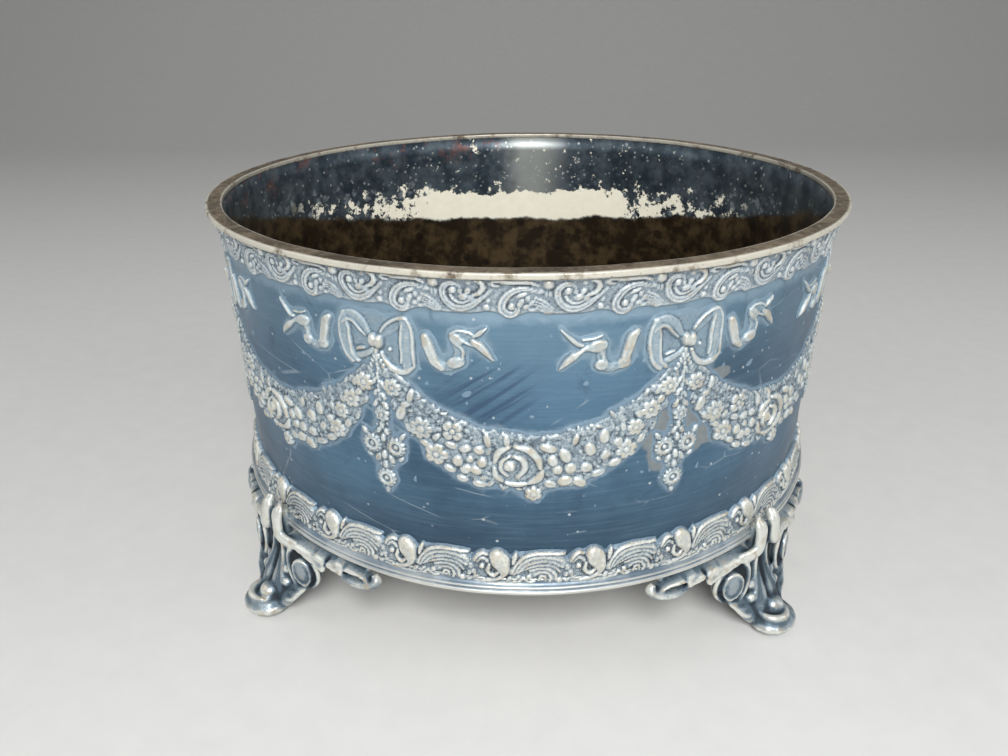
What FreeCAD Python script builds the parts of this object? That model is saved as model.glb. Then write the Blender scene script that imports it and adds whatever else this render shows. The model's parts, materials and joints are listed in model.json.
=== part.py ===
import FreeCAD, Part
import math
import os
import Sketcher
from types import SimpleNamespace
from FreeCAD import Placement, Rotation, Vector

# A footed jardiniere: a round drum of plated sheet metal with a flat rim, two rolled borders,
# eight soldered swags with their bows and drops, and four cast scroll feet.
# Millimetres, +Z up. The origin is on the floor, under the middle of the drum.
# The front swag faces -Y. The feet stand near the diagonals.

SIZES = (
    ("rim_diameter", 230.0, "across the outside of the rim"),
    ("rim_width", 5.4, "flat top of the rim, from its inner to its outer edge"),
    ("rim_depth", 1.8, "height of the rim ring"),
    ("foot_height", 31.5, "floor to the underside of the base ring"),
    ("wall_thickness", 1.0, "sheet of the drum"),
    ("solder_gap", 0.12, "solder between the drum and what is mounted on it"),
    ("base_ring_height", 3.6, "height of the moulded base ring"),
    ("base_ring_bead", 1.7, "height of the ring's lower bead"),
    ("base_ring_slope", 0.7, "how far the ring slopes in above the bead"),
    ("base_ring_ledge", 6.6, "width of the ledge that the bottom plate lies on"),
    ("plate_thickness", 1.2, "sheet of the bottom plate"),
    ("plate_play", 0.2, "between the bottom plate and the drum"),
    ("upper_border_height", 13.2, "rim ring to the lowest scroll of the upper border"),
    ("upper_border_inset", 0.6, "rim's edge to the border's top edge"),
    ("upper_border_edge", 1.1, "thickness of the border's lower edge"),
    ("lower_border_height", 12.6, "base ring to the knobs' tops on the lower border"),
    ("lower_border_inset", 0.7, "ring's edge to the border's foot"),
    ("lower_border_edge", 1.1, "thickness of the border's upper edge"),
    ("upper_border_turn", 4.3, "angle from the front to a scallop of the upper border, in degrees"),
    ("lower_border_turn", 2.6, "angle from the front to a shell of the lower border, in degrees"),
    ("border_units", 24.0, "scroll or shell units round each border"),
    ("scallop_width", 9.6, "width of a scallop of the upper border"),
    ("scallop_depth", 1.9, "height of a scallop of the upper border"),
    ("shell_width", 9.8, "width of the dip that a shell makes in the lower border's top"),
    ("shell_depth", 2.2, "depth of that dip"),
    ("swag_count", 8.0, "swags, bows and drops round the drum"),
    ("drop_margin", 15.3, "lower border to the lower end of a drop"),
    ("bow_clearance", 0.4, "upper border to the top of a bow's loops"),
    ("ornament_base", 0.8, "thickness of the mounts' ground"),
    ("swag_clearance", 0.53, "middle of a drop's stem to the side of a swag"),
    ("swag_thickness", 16.9, "height of a swag in its middle"),
    ("swag_hollow_rise", 25.0, "knots' level to the centre of the upper edge"),
    ("swag_end_drop", 8.4, "knots' level to the cut ends of a swag"),
    ("rose_radius", 6.6, "radius of the large rose in the middle of a swag"),
    ("rose_height", 2.4, "how far the rose stands out"),
    ("flower_radius", 3.5, "radius of the next flowers"),
    ("flower_height", 1.8, "how far the flowers stand out"),
    ("pendant_radius", 3.6, "radius of the flower under the rose"),
    ("pendant_hang", 2.2, "swag's lower edge to the middle of that flower"),
    ("knot_reach", 3.6, "knot's middle to its corners, which run under the loops"),
    ("knot_height", 2.7, "how far the knot stands out"),
    ("loop_offset", 7.8, "knot to the middle of a loop"),
    ("loop_half_width", 4.6, "half width of a loop"),
    ("loop_half_height", 7.2, "half height of a loop"),
    ("ribbon_width", 3.2, "width of the ribbon"),
    ("ribbon_wave", 3.6, "height of the ribbon's wave above and below the knots' level"),
    ("loop_band", 2.0, "width of the ribbon in a loop"),
    ("bow_relief", 1.3, "how far the ribbon stands out"),
    ("ribbon_tail", 35.0, "knot to the tips of the forked tail"),
    ("ribbon_fork", 9.0, "height of the fork between its tips"),
    ("drop_length", 48.5, "knot to the lower end of a drop"),
    ("drop_stem_width", 2.2, "width of a drop's stem"),
    ("drop_flower_radius", 3.4, "radius of a drop's rosettes"),
    ("drop_pair_offset", 4.0, "stem to the middle of each of the paired rosettes"),
    ("drop_pair_level", 33.5, "knots' level to the paired rosettes"),
    ("drop_top_clearance", 3.2, "knots' level to the top of the stem"),
    ("foot_clearance", 0.5, "between the base ring and a foot's knee"),
    ("knee_rise", 9.6, "base ring's underside to the top of the knee"),
    ("knee_half_width", 5.4, "half width of the knee"),
    ("knee_thickness", 5.2, "thickness of the knee"),
    ("neck_drop", 10.6, "base ring down to the leg's narrowest place"),
    ("neck_setback", 2.4, "rim's edge in to the leg's back at its narrowest"),
    ("neck_half_width", 4.5, "half width of the leg at its narrowest"),
    ("neck_thickness", 6.6, "thickness of the leg at its narrowest"),
    ("ankle_level", 8.4, "floor to the leg above the toe"),
    ("ankle_advance", 5.0, "rim's edge out to the leg's back above the toe"),
    ("ankle_half_width", 6.6, "half width of the leg above the toe"),
    ("ankle_thickness", 6.2, "thickness of the leg above the toe"),
    ("toe_advance", 19.5, "rim's edge out to the front of a toe"),
    ("toe_radius", 8.9, "radius of a toe's pad"),
    ("foot_turn", -2.9, "angle from a diagonal to a foot, in degrees"),
    ("toe_height", 4.4, "height of a toe's pad"),
    ("toe_ball_radius", 3.9, "radius of the ball that the toe's scroll holds"),
    ("seat_width", 11.0, "width of the block soldered under the ring"),
    ("seat_depth", 9.0, "radial depth of that block"),
    ("seat_height", 5.0, "height of that block"),
    ("wing_sweep", 21.6, "angle from a foot's middle to a wing's tip, in degrees"),
    ("wing_root_advance", 5.6, "rim's edge out to the outside of a wing's root"),
    ("wing_root_width", 6.8, "radial width of a wing's root"),
    ("wing_root_height", 5.0, "height of a wing's root"),
    ("wing_tip_advance", 0.2, "rim's edge out to the outside of a wing's tip"),
    ("wing_tip_width", 4.6, "radial width of a wing's tip"),
    ("wing_tip_height", 3.4, "height of a wing's tip"),
    ("volute_radius", 5.3, "radius of the volute beside the leg"),
    ("volute_offset", 16.4, "leg's middle to the middle of a volute"),
    ("volute_drop", 11.0, "base ring down to the middle of a volute"),
    ("volute_setback", 0.4, "rim's edge in to the back of a volute"),
    ("leaf_foot_width", 7.6, "leg's middle to the outside of a volute's leaf, at its foot"),
    ("leaf_level", 8.6, "floor to the foot of that leaf"),
    ("volute_depth", 4.4, "radial thickness of a volute"),
    ("volute_dish", 1.1, "depth of the dished face of a volute"),
    ("volute_lip", 1.4, "width of the lip round that face"),
    ("cut_overrun", 2.0, "how far a cutting shape runs past what it cuts"),
)


class Length:
    """A size, or a sum of sizes, with its value and the expression that gives it in the sheet."""

    def __init__(self, value, text):
        self.value = value
        self.text = text

    def joined(self, sign, other, value):
        other_text = other.text if isinstance(other, Length) else repr(other)
        return Length(value, f"({self.text} {sign} {other_text})")

    def __add__(self, other):
        return self.joined("+", other, self.value + float(other))

    def __sub__(self, other):
        return self.joined("-", other, self.value - float(other))

    def __mul__(self, other):
        return self.joined("*", other, self.value * float(other))

    def __truediv__(self, other):
        return self.joined("/", other, self.value / float(other))

    def __neg__(self):
        return Length(-self.value, f"(0 - {self.text})")

    def __float__(self):
        return self.value


doc = FreeCAD.newDocument("footed_jardiniere")
sheet = doc.addObject("Spreadsheet::Sheet", "Sizes")
for row, (alias, value, meaning) in enumerate(SIZES, start=1):
    sheet.set(f"A{row}", str(value))
    sheet.set(f"B{row}", meaning)
    sheet.setAlias(f"A{row}", alias)
doc.recompute()
size = SimpleNamespace(
    **{alias: Length(float(sheet.get(alias)), f"Sizes.{alias}") for alias, _, _ in SIZES}
)
ZERO = Length(0.0, "0")
SUB_PARTS = []

# Sizes and places that follow from the sheet. The heights stack up from the floor.
rim_radius = size.rim_diameter / 2
wall_inner = rim_radius - size.rim_width
wall_outer = wall_inner + size.wall_thickness
mount_inner = wall_outer + size.solder_gap
ring_top = size.foot_height + size.base_ring_height
lower_border_top = ring_top + size.lower_border_height
bow_level = lower_border_top + size.drop_margin + size.drop_length
upper_border_foot = bow_level + size.loop_half_height + size.bow_clearance
rim_underside = upper_border_foot + size.upper_border_height
rim_top = rim_underside + size.rim_depth
ornament_face = mount_inner + size.ornament_base
swag_angle = 360.0 / float(size.swag_count)
swag_radius = ornament_face * math.sin(math.radians(swag_angle / 2)) - size.swag_clearance
swag_hollow_radius = swag_radius + size.swag_hollow_rise - size.swag_thickness
unit_angle = 360.0 / float(size.border_units)


def bind(item, name, length):
    """Sets a property of an object from the sheet."""
    item.setExpression(name, length.text)


def put(item, x, y, z, turn=None):
    """Places an object, with its position bound to the sheet."""
    if turn is not None:
        item.Placement = Placement(Vector(0, 0, 0), turn)
    for axis, length in zip("xyz", (x, y, z)):
        bind(item, f"Placement.Base.{axis}", length)


def keep(item, label):
    """Names a finished piece, and puts it among those that are written out."""
    item.Label = label
    SUB_PARTS.append(item)
    return item


def origin_plane(body, role):
    """One of a body's own three planes or axes."""
    return next(f for f in body.Origin.OriginFeatures if f.Role == role)


def hold_point(sketch, edge, end, x, z):
    """Ties one end of a sketch's edge to a place given by two sizes."""
    for kind, axis, length in (("DistanceX", -2, x), ("DistanceY", -1, z)):
        if length is ZERO:
            sketch.addConstraint(Sketcher.Constraint("PointOnObject", edge, end, axis))
        else:
            index = sketch.addConstraint(Sketcher.Constraint(kind, -1, 1, edge, end, float(length)))
            sketch.setExpression(f"Constraints[{index}]", length.text)


def closed_outline(sketch, points):
    """Draws a closed outline of straight edges through points held by the sheet's sizes."""
    count = len(points)
    places = [Vector(float(x), float(z), 0) for x, z in points]
    for i in range(count):
        sketch.addGeometry(Part.LineSegment(places[i], places[(i + 1) % count]), False)
    for i in range(count):
        sketch.addConstraint(Sketcher.Constraint("Coincident", i, 2, (i + 1) % count, 1))
        hold_point(sketch, i, 1, *points[i])


def body_sketch(body, name):
    """A sketch on a body's XZ plane: its own axes are the drum's radius and height."""
    sketch = body.newObject("Sketcher::SketchObject", name)
    sketch.AttachmentSupport = [(origin_plane(body, "XZ_Plane"), "")]
    sketch.MapMode = "FlatFace"
    return sketch


def turned_ring(label, profile):
    """A body turned about the drum's axis from a profile of (radius, height) points."""
    body = doc.addObject("PartDesign::Body", label)
    sketch = body_sketch(body, f"{label}_profile")
    closed_outline(sketch, profile)
    turned = body.newObject("PartDesign::Revolution", f"{label}_turned")
    turned.Profile = sketch
    turned.ReferenceAxis = (sketch, ["V_Axis"])
    turned.Angle = 360
    doc.recompute()
    return keep(body, label)


def repeat_round(body, feature, name, count):
    """Repeats a body's feature evenly round the drum's axis."""
    pattern = body.newObject("PartDesign::PolarPattern", name)
    pattern.Originals = [feature]
    pattern.Axis = (origin_plane(body, "Z_Axis"), [""])
    pattern.Angle = 360
    pattern.setExpression("Occurrences", count.text)
    body.Tip = pattern
    doc.recompute()


def cut_bites(body, name, points):
    """Cuts one bite out of a border's front from an outline of (across, height) points, and repeats it."""
    sketch = body_sketch(body, f"{name}_outline")
    closed_outline(sketch, points)
    pocket = body.newObject("PartDesign::Pocket", f"{name}_bite")
    pocket.Profile = sketch
    pocket.Reversed = True
    bind(pocket, "Length", rim_radius + size.cut_overrun)
    before = body.Shape.Volume
    doc.recompute()
    if not body.Shape.Volume < before:
        raise RuntimeError(f"{name} cut nothing")
    repeat_round(body, pocket, f"{name}_round", size.border_units)


# The drum: a sheet wall, soldered into a cylinder, between the base ring and the rim ring.
turned_ring("body_wall", [
    (wall_inner, ring_top),
    (wall_outer, ring_top),
    (wall_outer, rim_underside),
    (wall_inner, rim_underside),
])

# The bottom: a flat plate that lies on the base ring's ledge.
plate_radius = wall_inner - size.plate_play
turned_ring("bottom_plate", [
    (ZERO, ring_top),
    (plate_radius, ring_top),
    (plate_radius, ring_top + size.plate_thickness),
    (ZERO, ring_top + size.plate_thickness),
])

# The rim: a flat ring that closes the top of the sheet.
turned_ring("rim_ring", [
    (wall_inner, rim_underside),
    (rim_radius, rim_underside),
    (rim_radius, rim_top),
    (wall_inner, rim_top),
])

# The base ring: a bead outside, with a slope above it, and a ledge inside for the bottom plate.
bead_top = size.foot_height + size.base_ring_bead
ledge_inner = wall_inner - size.base_ring_ledge
turned_ring("base_ring", [
    (ledge_inner, size.foot_height),
    (rim_radius, size.foot_height),
    (rim_radius, bead_top),
    (rim_radius - size.base_ring_slope, ring_top),
    (ledge_inner, ring_top),
])

# The upper border: a rolled strip that hangs from the rim, with scrolls for its lower edge.
upper_border = turned_ring("upper_border", [
    (mount_inner, upper_border_foot),
    (mount_inner + size.upper_border_edge, upper_border_foot),
    (rim_radius - size.upper_border_inset, rim_underside),
    (mount_inner, rim_underside),
])
cut_bites(upper_border, "upper_scallop", [
    (-size.scallop_width / 2, upper_border_foot - size.cut_overrun),
    (size.scallop_width / 2, upper_border_foot - size.cut_overrun),
    (size.scallop_width / 2, upper_border_foot),
    (ZERO, upper_border_foot + size.scallop_depth),
    (-size.scallop_width / 2, upper_border_foot),
])

# The lower border: a rolled strip that stands on the base ring, with knobs between its shells.
lower_border = turned_ring("lower_border", [
    (mount_inner, ring_top),
    (rim_radius - size.lower_border_inset, ring_top),
    (mount_inner + size.lower_border_edge, lower_border_top),
    (mount_inner, lower_border_top),
])
cut_bites(lower_border, "shell", [
    (size.shell_width / 2, lower_border_top + size.cut_overrun),
    (-size.shell_width / 2, lower_border_top + size.cut_overrun),
    (-size.shell_width / 2, lower_border_top),
    (ZERO, lower_border_top - size.shell_depth),
    (size.shell_width / 2, lower_border_top),
])

for border, turn in ((upper_border, size.upper_border_turn), (lower_border, size.lower_border_turn)):
    bind(border, "Placement.Rotation.Angle", turn)

# What is soldered to the drum is first made at its front, facing -Y, and then turned to its place.
OUTWARD = Rotation(Vector(1, 0, 0), 90)


def upright(name, reach, height):
    """An upright prism about the drum's axis, from the floor, whose flats lie at a reach from the axis.

    The mounts are stamped flat and bent round the drum in steps. A flat faces the front and each knot.
    """
    flat_angle = swag_angle / 4
    prism = doc.addObject("Part::Prism", name)
    prism.Placement = Placement(Vector(0, 0, 0), Rotation(Vector(0, 0, 1), flat_angle / 2))
    prism.Polygon = round(360 / flat_angle)
    bind(prism, "Circumradius", reach / math.cos(math.radians(flat_angle / 2)))
    bind(prism, "Height", height)
    return prism


def outline_prism(name, points):
    """A prism on the drum's front, from its axis outwards, on an outline of (across, height) points."""
    sketch = doc.addObject("Sketcher::SketchObject", f"{name}_outline")
    sketch.Placement = Placement(Vector(0, 0, 0), OUTWARD)
    closed_outline(sketch, points)
    prism = doc.addObject("Part::Extrusion", name)
    prism.Base = sketch
    prism.DirMode = "Normal"
    prism.Solid = True
    bind(prism, "LengthFwd", rim_radius)
    return prism


def disc(name, x, z, radius, depth, sides=0):
    """A round or many-sided rod along the drum's front, that ends at a depth from the drum's axis."""
    kind = "Part::Prism" if sides else "Part::Cylinder"
    rod = doc.addObject(kind, name)
    if sides:
        rod.Polygon = sides
        bind(rod, "Circumradius", radius)
    else:
        bind(rod, "Radius", radius)
    bind(rod, "Height", depth)
    put(rod, x, ZERO, z, OUTWARD)
    return rod


def boss(name, angle, z, radius, height, sides):
    """A many-sided flower that stands out of the ground, at an angle round the drum from its front."""
    rod = disc(name, ZERO, z, radius, mount_inner + height, sides)
    rod.Placement = Placement(Vector(0, 0, float(z)), Rotation(Vector(0, 0, 1), angle) * OUTWARD)
    bind(rod, "Placement.Base.z", z)
    return rod


def joined(kind, name, first, *others):
    """Two or more solids put together by one of the document's boolean operations."""
    result = doc.addObject(kind, name)
    if kind == "Part::MultiFuse":
        result.Shapes = [first, *others]
        result.Refine = True
    else:
        result.Base = first
        result.Tool = others[0]
    return result


drum_core = upright("drum_core", mount_inner, rim_top)


def repeat_at_angles(name, shapes, count, first_angle):
    """The finished mounts of one kind, each turned round the drum to its own place."""
    for i in range(count):
        mount = joined("Part::Cut", f"{name}_solid_{i + 1}", shapes, drum_core)
        mount.Placement = Placement(Vector(0, 0, 0), Rotation(Vector(0, 0, 1), first_angle + swag_angle * i))
        mount.setExpression("Placement.Rotation.Angle", f"{first_angle} + 360 / Sizes.swag_count * {i}")
        doc.recompute()
        keep(mount, f"{name}_{i + 1}")


def degrees_round(length):
    """The angle round the drum that a length along the wall takes, in degrees."""
    return math.degrees(float(length) / float(mount_inner))


# A swag: a crescent of leaves with a large rose, two flowers and a pendant flower on it.
swag_hollow_centre = bow_level + size.swag_hollow_rise
swag_end = bow_level - size.swag_end_drop


def swag_edge(centre, radius, point_count):
    """One edge of a swag, as (across, height) points of an arc from one cut end to the other.

    An odd number of points puts one of them at the lowest place, over the pendant flower.
    """
    half = math.acos(float(centre - swag_end) / float(radius))
    turns = [half * (2 * i / (point_count - 1) - 1) for i in range(point_count)]
    return [(radius * math.sin(turn), centre - radius * math.cos(turn)) for turn in turns]


swag_outline = swag_edge(bow_level, swag_radius, 9)
swag_outline += swag_edge(swag_hollow_centre, swag_hollow_radius, 5)[::-1]
swag_ground = upright("swag_ground", ornament_face, rim_top)
swag_leaves = joined("Part::Common", "swag_leaves", outline_prism("swag_crescent", swag_outline), swag_ground)


def on_swag(angle):
    """The middle of a swag's width, at an angle about the knots' level from its lowest point."""
    rise = float(size.swag_hollow_rise)
    turn = math.radians(angle)
    hollow = math.sqrt(float(swag_hollow_radius) ** 2 - (rise * math.sin(turn)) ** 2) - rise * math.cos(turn)
    middle_share = (float(swag_radius) + hollow) / 2 / float(swag_radius)
    middle = swag_radius * middle_share
    return degrees_round(middle * math.sin(turn)), bow_level - middle * math.cos(turn)


flower_angles = {"rose": -7, "left": -40, "right": 38}
swag_flowers = []
for flower, angle in flower_angles.items():
    is_rose = flower == "rose"
    place, level = on_swag(angle)
    swag_flowers.append(boss(
        f"swag_{flower}", place, level,
        size.rose_radius if is_rose else size.flower_radius,
        size.rose_height if is_rose else size.flower_height,
        8 if is_rose else 6,
    ))
swag_flowers.append(boss("swag_pendant", 0, bow_level - swag_radius - size.pendant_hang,
                         size.pendant_radius, size.flower_height, 6))
swag = joined("Part::MultiFuse", "swag", swag_leaves, *swag_flowers)
repeat_at_angles("garland", swag, 8, 0)

# A bow: a knot between two upright loops, and a ribbon each way that waves and ends in a fork.
bow_ground = upright("bow_ground", mount_inner + size.bow_relief, rim_top)


def loop_outline(side, narrowing):
    """One oval of a bow's loop, as (across, height) points, narrowed inwards by a size."""
    corner_count = 8
    half_width = size.loop_half_width - narrowing
    half_height = size.loop_half_height - narrowing
    turns = [2 * math.pi * (i + 0.5) / corner_count for i in range(corner_count)]
    return [
        (size.loop_offset * side + half_width * math.cos(turn), bow_level + half_height * math.sin(turn))
        for turn in turns
    ]


def ribbon_outline(side):
    """One ribbon, as (across, height) points: a wave of the ribbon's width, and a forked end."""
    start = size.loop_offset + size.loop_half_width - size.loop_band
    wave_end = size.ribbon_tail - size.ribbon_fork
    point_count = 4
    upper, lower = [], []
    for i in range(point_count):
        share = i / (point_count - 1)
        across = start + (wave_end - start) * share
        middle = bow_level - size.ribbon_wave * math.sin(2 * math.pi * share)
        upper.append((across * side, middle + size.ribbon_width / 2))
        lower.append((across * side, middle - size.ribbon_width / 2))
    tips = [
        (size.ribbon_tail * side, bow_level + size.ribbon_fork / 2),
        ((size.ribbon_tail - size.ribbon_fork / 2) * side, bow_level),
        (size.ribbon_tail * side, bow_level - size.ribbon_fork / 2),
    ]
    return upper + tips + lower[::-1]


bow_parts = []
for side, side_name in ((-1, "left"), (1, "right")):
    loop = joined(
        "Part::Cut", f"bow_loop_{side_name}",
        outline_prism(f"bow_loop_{side_name}_outside", loop_outline(side, ZERO)),
        outline_prism(f"bow_loop_{side_name}_inside", loop_outline(side, size.loop_band)),
    )
    bow_parts += [loop, outline_prism(f"bow_ribbon_{side_name}", ribbon_outline(side))]
bow_flat = joined("Part::MultiFuse", "bow_flat", *bow_parts)
bow_ribbons = joined("Part::Common", "bow_ribbons", bow_flat, bow_ground)
bow = joined("Part::MultiFuse", "bow", bow_ribbons,
             boss("bow_knot", 0, bow_level, size.knot_reach, size.knot_height, 6))
repeat_at_angles("bow", bow, 8, swag_angle / 2)

# A drop: a stem under each knot, with two rosettes side by side and one below.
drop_top = bow_level - size.drop_top_clearance
drop_foot = bow_level - size.drop_length
half_stem = size.drop_stem_width / 2
drop_ground = upright("drop_ground", ornament_face, rim_top)
stem = outline_prism("drop_stem_outline", [
    (-half_stem, drop_foot),
    (half_stem, drop_foot),
    (half_stem, drop_top),
    (-half_stem, drop_top),
])
pair_angle = degrees_round(size.drop_pair_offset)
pair_level = bow_level - size.drop_pair_level
drop = joined(
    "Part::MultiFuse", "drop",
    joined("Part::Common", "drop_stem", stem, drop_ground),
    boss("drop_left", -pair_angle, pair_level, size.drop_flower_radius, size.flower_height, 6),
    boss("drop_right", pair_angle, pair_level, size.drop_flower_radius, size.flower_height, 6),
    boss("drop_low", 0, drop_foot + size.drop_flower_radius, size.drop_flower_radius, size.flower_height, 6),
)
repeat_at_angles("drop", drop, 8, swag_angle / 2)


# A foot is a casting. Its parts are made at the drum's front, where outwards is -Y, and joined.


def outline_on_floor(name, points, level):
    """A closed outline of (across, along) points on a level plane."""
    sketch = doc.addObject("Sketcher::SketchObject", name)
    bind(sketch, "Placement.Base.z", level)
    closed_outline(sketch, points)
    return sketch


def chased(name, sections):
    """A solid with flat three-cornered faces between sections of as many corners each.

    The faces of a straight loft would be warped here, and a chased casting has crisp flats anyway.
    """
    faces = []
    count = len(sections[0])
    for below, above in zip(sections, sections[1:]):
        for i in range(count):
            j = (i + 1) % count
            faces += [(below[i], below[j], above[j]), (below[i], above[j], above[i])]
    faces += [tuple(sections[0][::-1]), tuple(sections[-1])]
    shell = Part.makeShell([Part.Face(Part.makePolygon([*face, face[0]])) for face in faces])
    solid = Part.makeSolid(shell)
    if solid.Volume < 0:
        solid.reverse()
    feature = doc.addObject("Part::Feature", name)
    feature.Shape = solid
    return feature


def leg_section(level, reach, half_width, thickness):
    """The corners of a level section of the leg, whose leaf has a groove down its front.

    The reach is from the drum's axis to the section's inside.
    """
    rib_share = 0.45
    groove_share = 0.8
    shoulder_share = 0.5
    back_share = 0.7
    outline = [
        (ZERO, reach + thickness * groove_share),
        (half_width * rib_share, reach + thickness),
        (half_width, reach + thickness * shoulder_share),
        (half_width * back_share, reach),
        (-half_width * back_share, reach),
        (-half_width, reach + thickness * shoulder_share),
        (-half_width * rib_share, reach + thickness),
    ]
    return [Vector(float(across), -float(out), float(level)) for across, out in outline]


knee_reach = rim_radius + size.foot_clearance
neck_reach = rim_radius - size.neck_setback
neck_level = size.foot_height - size.neck_drop
ankle_reach = rim_radius + size.ankle_advance
toe_reach = rim_radius + size.toe_advance
wing_root_reach = rim_radius + size.wing_root_advance
wing_tip_reach = rim_radius + size.wing_tip_advance
volute_reach = rim_radius - size.volute_setback
volute_level = size.foot_height - size.volute_drop
knee_top = size.foot_height + size.knee_rise
leg = chased("leg", [
    leg_section(size.toe_height / 2, toe_reach - size.toe_radius * 2 + size.toe_height,
                size.toe_radius * 0.8, size.toe_radius * 1.2),
    leg_section(size.ankle_level, ankle_reach, size.ankle_half_width, size.ankle_thickness),
    leg_section(neck_level, neck_reach, size.neck_half_width, size.neck_thickness),
    leg_section(size.foot_height, knee_reach, size.knee_half_width, size.knee_thickness * 0.8),
    leg_section(size.foot_height + size.knee_rise / 2, knee_reach, size.knee_half_width, size.knee_thickness),
    leg_section(knee_top, knee_reach, size.knee_half_width / 2, size.knee_thickness / 2),
])


def wing_section(share):
    """The corners of a section across a wing, at a share of its sweep from the foot's middle."""
    near = 1 - abs(share)
    reach = wing_tip_reach + (wing_root_reach - wing_tip_reach) * near
    width = size.wing_tip_width + (size.wing_root_width - size.wing_tip_width) * near
    height = size.wing_tip_height + (size.wing_root_height - size.wing_tip_height) * near
    bevel_share = 0.4
    top = size.foot_height
    outline = [
        (reach - width, top - height * bevel_share),
        (reach - width * bevel_share, top - height),
        (reach, top - height * (1 - bevel_share)),
        (reach - width * bevel_share, top),
        (reach - width, top),
    ]
    turn = Rotation(Vector(0, 0, 1), float(size.wing_sweep) * share)
    return [turn.multVec(Vector(0, -float(out), float(level))) for out, level in outline]


# The wings run each way under the base ring, in one piece through the back of the knee.
wing_shares = (-1, -2 / 3, -1 / 3, 0, 1 / 3, 2 / 3, 1)
wings = chased("wings", [wing_section(share) for share in wing_shares])
seat = outline_on_floor("seat_outline", [
    (-size.seat_width / 2, -rim_radius),
    (size.seat_width / 2, -rim_radius),
    (size.seat_width / 2, size.seat_depth - rim_radius),
    (-size.seat_width / 2, size.seat_depth - rim_radius),
], size.foot_height - size.seat_height)
seat_block = doc.addObject("Part::Extrusion", "seat_block")
seat_block.Base = seat
seat_block.DirMode = "Normal"
seat_block.Solid = True
bind(seat_block, "LengthFwd", size.seat_height)

# The toe: a round pad, and the ball that its scroll holds.
toe_middle = toe_reach - size.toe_radius
toe = doc.addObject("Part::Prism", "toe")
toe.Polygon = 14
bind(toe, "Circumradius", size.toe_radius)
bind(toe, "Height", size.toe_height)
put(toe, ZERO, -toe_middle, ZERO)
ball = doc.addObject("Part::Prism", "toe_ball")
ball.Polygon = 8
bind(ball, "Circumradius", size.toe_ball_radius)
bind(ball, "Height", size.toe_height + size.toe_ball_radius)
put(ball, ZERO, -(toe_middle + size.toe_ball_radius / 2), ZERO)


def leaf_section(side, level, reach, near, far):
    """The corners of a level section of the leaf under a volute, from its near side to its far side."""
    corners = [(near, reach), (near, reach + size.volute_depth), (far, reach + size.volute_depth), (far, reach)]
    return [Vector(float(across) * side, -float(out), float(level)) for across, out in corners]


# A dished volute stands beside the leg on each side, on a leaf that rises from the ankle.
foot_parts = [leg, wings, seat_block, toe, ball]
volute_face = volute_reach + size.volute_depth
for side, side_name in ((-1, "left"), (1, "right")):
    rounds = []
    for part_name, radius, start, depth in (
        ("volute", size.volute_radius, volute_reach, size.volute_depth),
        ("dish", size.volute_radius - size.volute_lip, volute_face - size.volute_dish, size.volute_dish),
    ):
        item = doc.addObject("Part::Prism", f"{part_name}_{side_name}")
        item.Polygon = 12
        bind(item, "Circumradius", radius)
        bind(item, "Height", depth)
        put(item, size.volute_offset * side, -start, volute_level, OUTWARD)
        rounds.append(item)
    leaf = chased(f"leaf_{side_name}", [
        leaf_section(side, size.leaf_level, ankle_reach, size.leaf_foot_width / 5, size.leaf_foot_width),
        leaf_section(side, volute_level, volute_reach, size.leaf_foot_width / 2, size.volute_offset),
    ])
    foot_parts += [joined("Part::Cut", f"dished_volute_{side_name}", *rounds), leaf]

# The four feet come from one mould, each turned to its own place near a diagonal.
for i in range(4):
    foot = joined("Part::MultiFuse", f"foot_casting_{i + 1}", *foot_parts)
    foot.Refine = False
    foot.Placement = Placement(Vector(0, 0, 0), Rotation(Vector(0, 0, 1), 45 + 90 * i))
    foot.setExpression("Placement.Rotation.Angle", f"{45 + 90 * i} + Sizes.foot_turn")
    doc.recompute()
    keep(foot, f"foot_{i + 1}")


os.makedirs("parts", exist_ok=True)
for item in doc.Objects:
    if {"Invalid", "Error"} & set(item.State):
        raise RuntimeError(f"{item.Label} failed: {item.State}")
for piece in SUB_PARTS:
    if piece.Shape.isNull() or not piece.Shape.isValid():
        raise RuntimeError(f"{piece.Label} has no sound solid")
    piece.Shape.exportStep(f"parts/{piece.Label}.step")
print(len(SUB_PARTS), "sub-parts written")
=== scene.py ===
# %% [markdown]
# # A footed jardiniere of old plated metal
# The object is a round drum of thin plated sheet, closed by a flat rim above and a moulded ring below. Two strips of
# rolled scrollwork run round it. Stamped bows, swags of flowers and small drops are soldered to the drum, and four cast
# feet with scrolled wings carry it. The plate has gone slate blue, and it is rubbed to a pale cream wherever it stands
# proud. So the two things to learn here are how to press relief into thin metal, and how to let that relief say where
# the metal is dark and where it is worn bright.

# %% Tools and frame
import json
import math

import bmesh
import bpy
import numpy as np
from mathutils import Matrix, Vector


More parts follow.
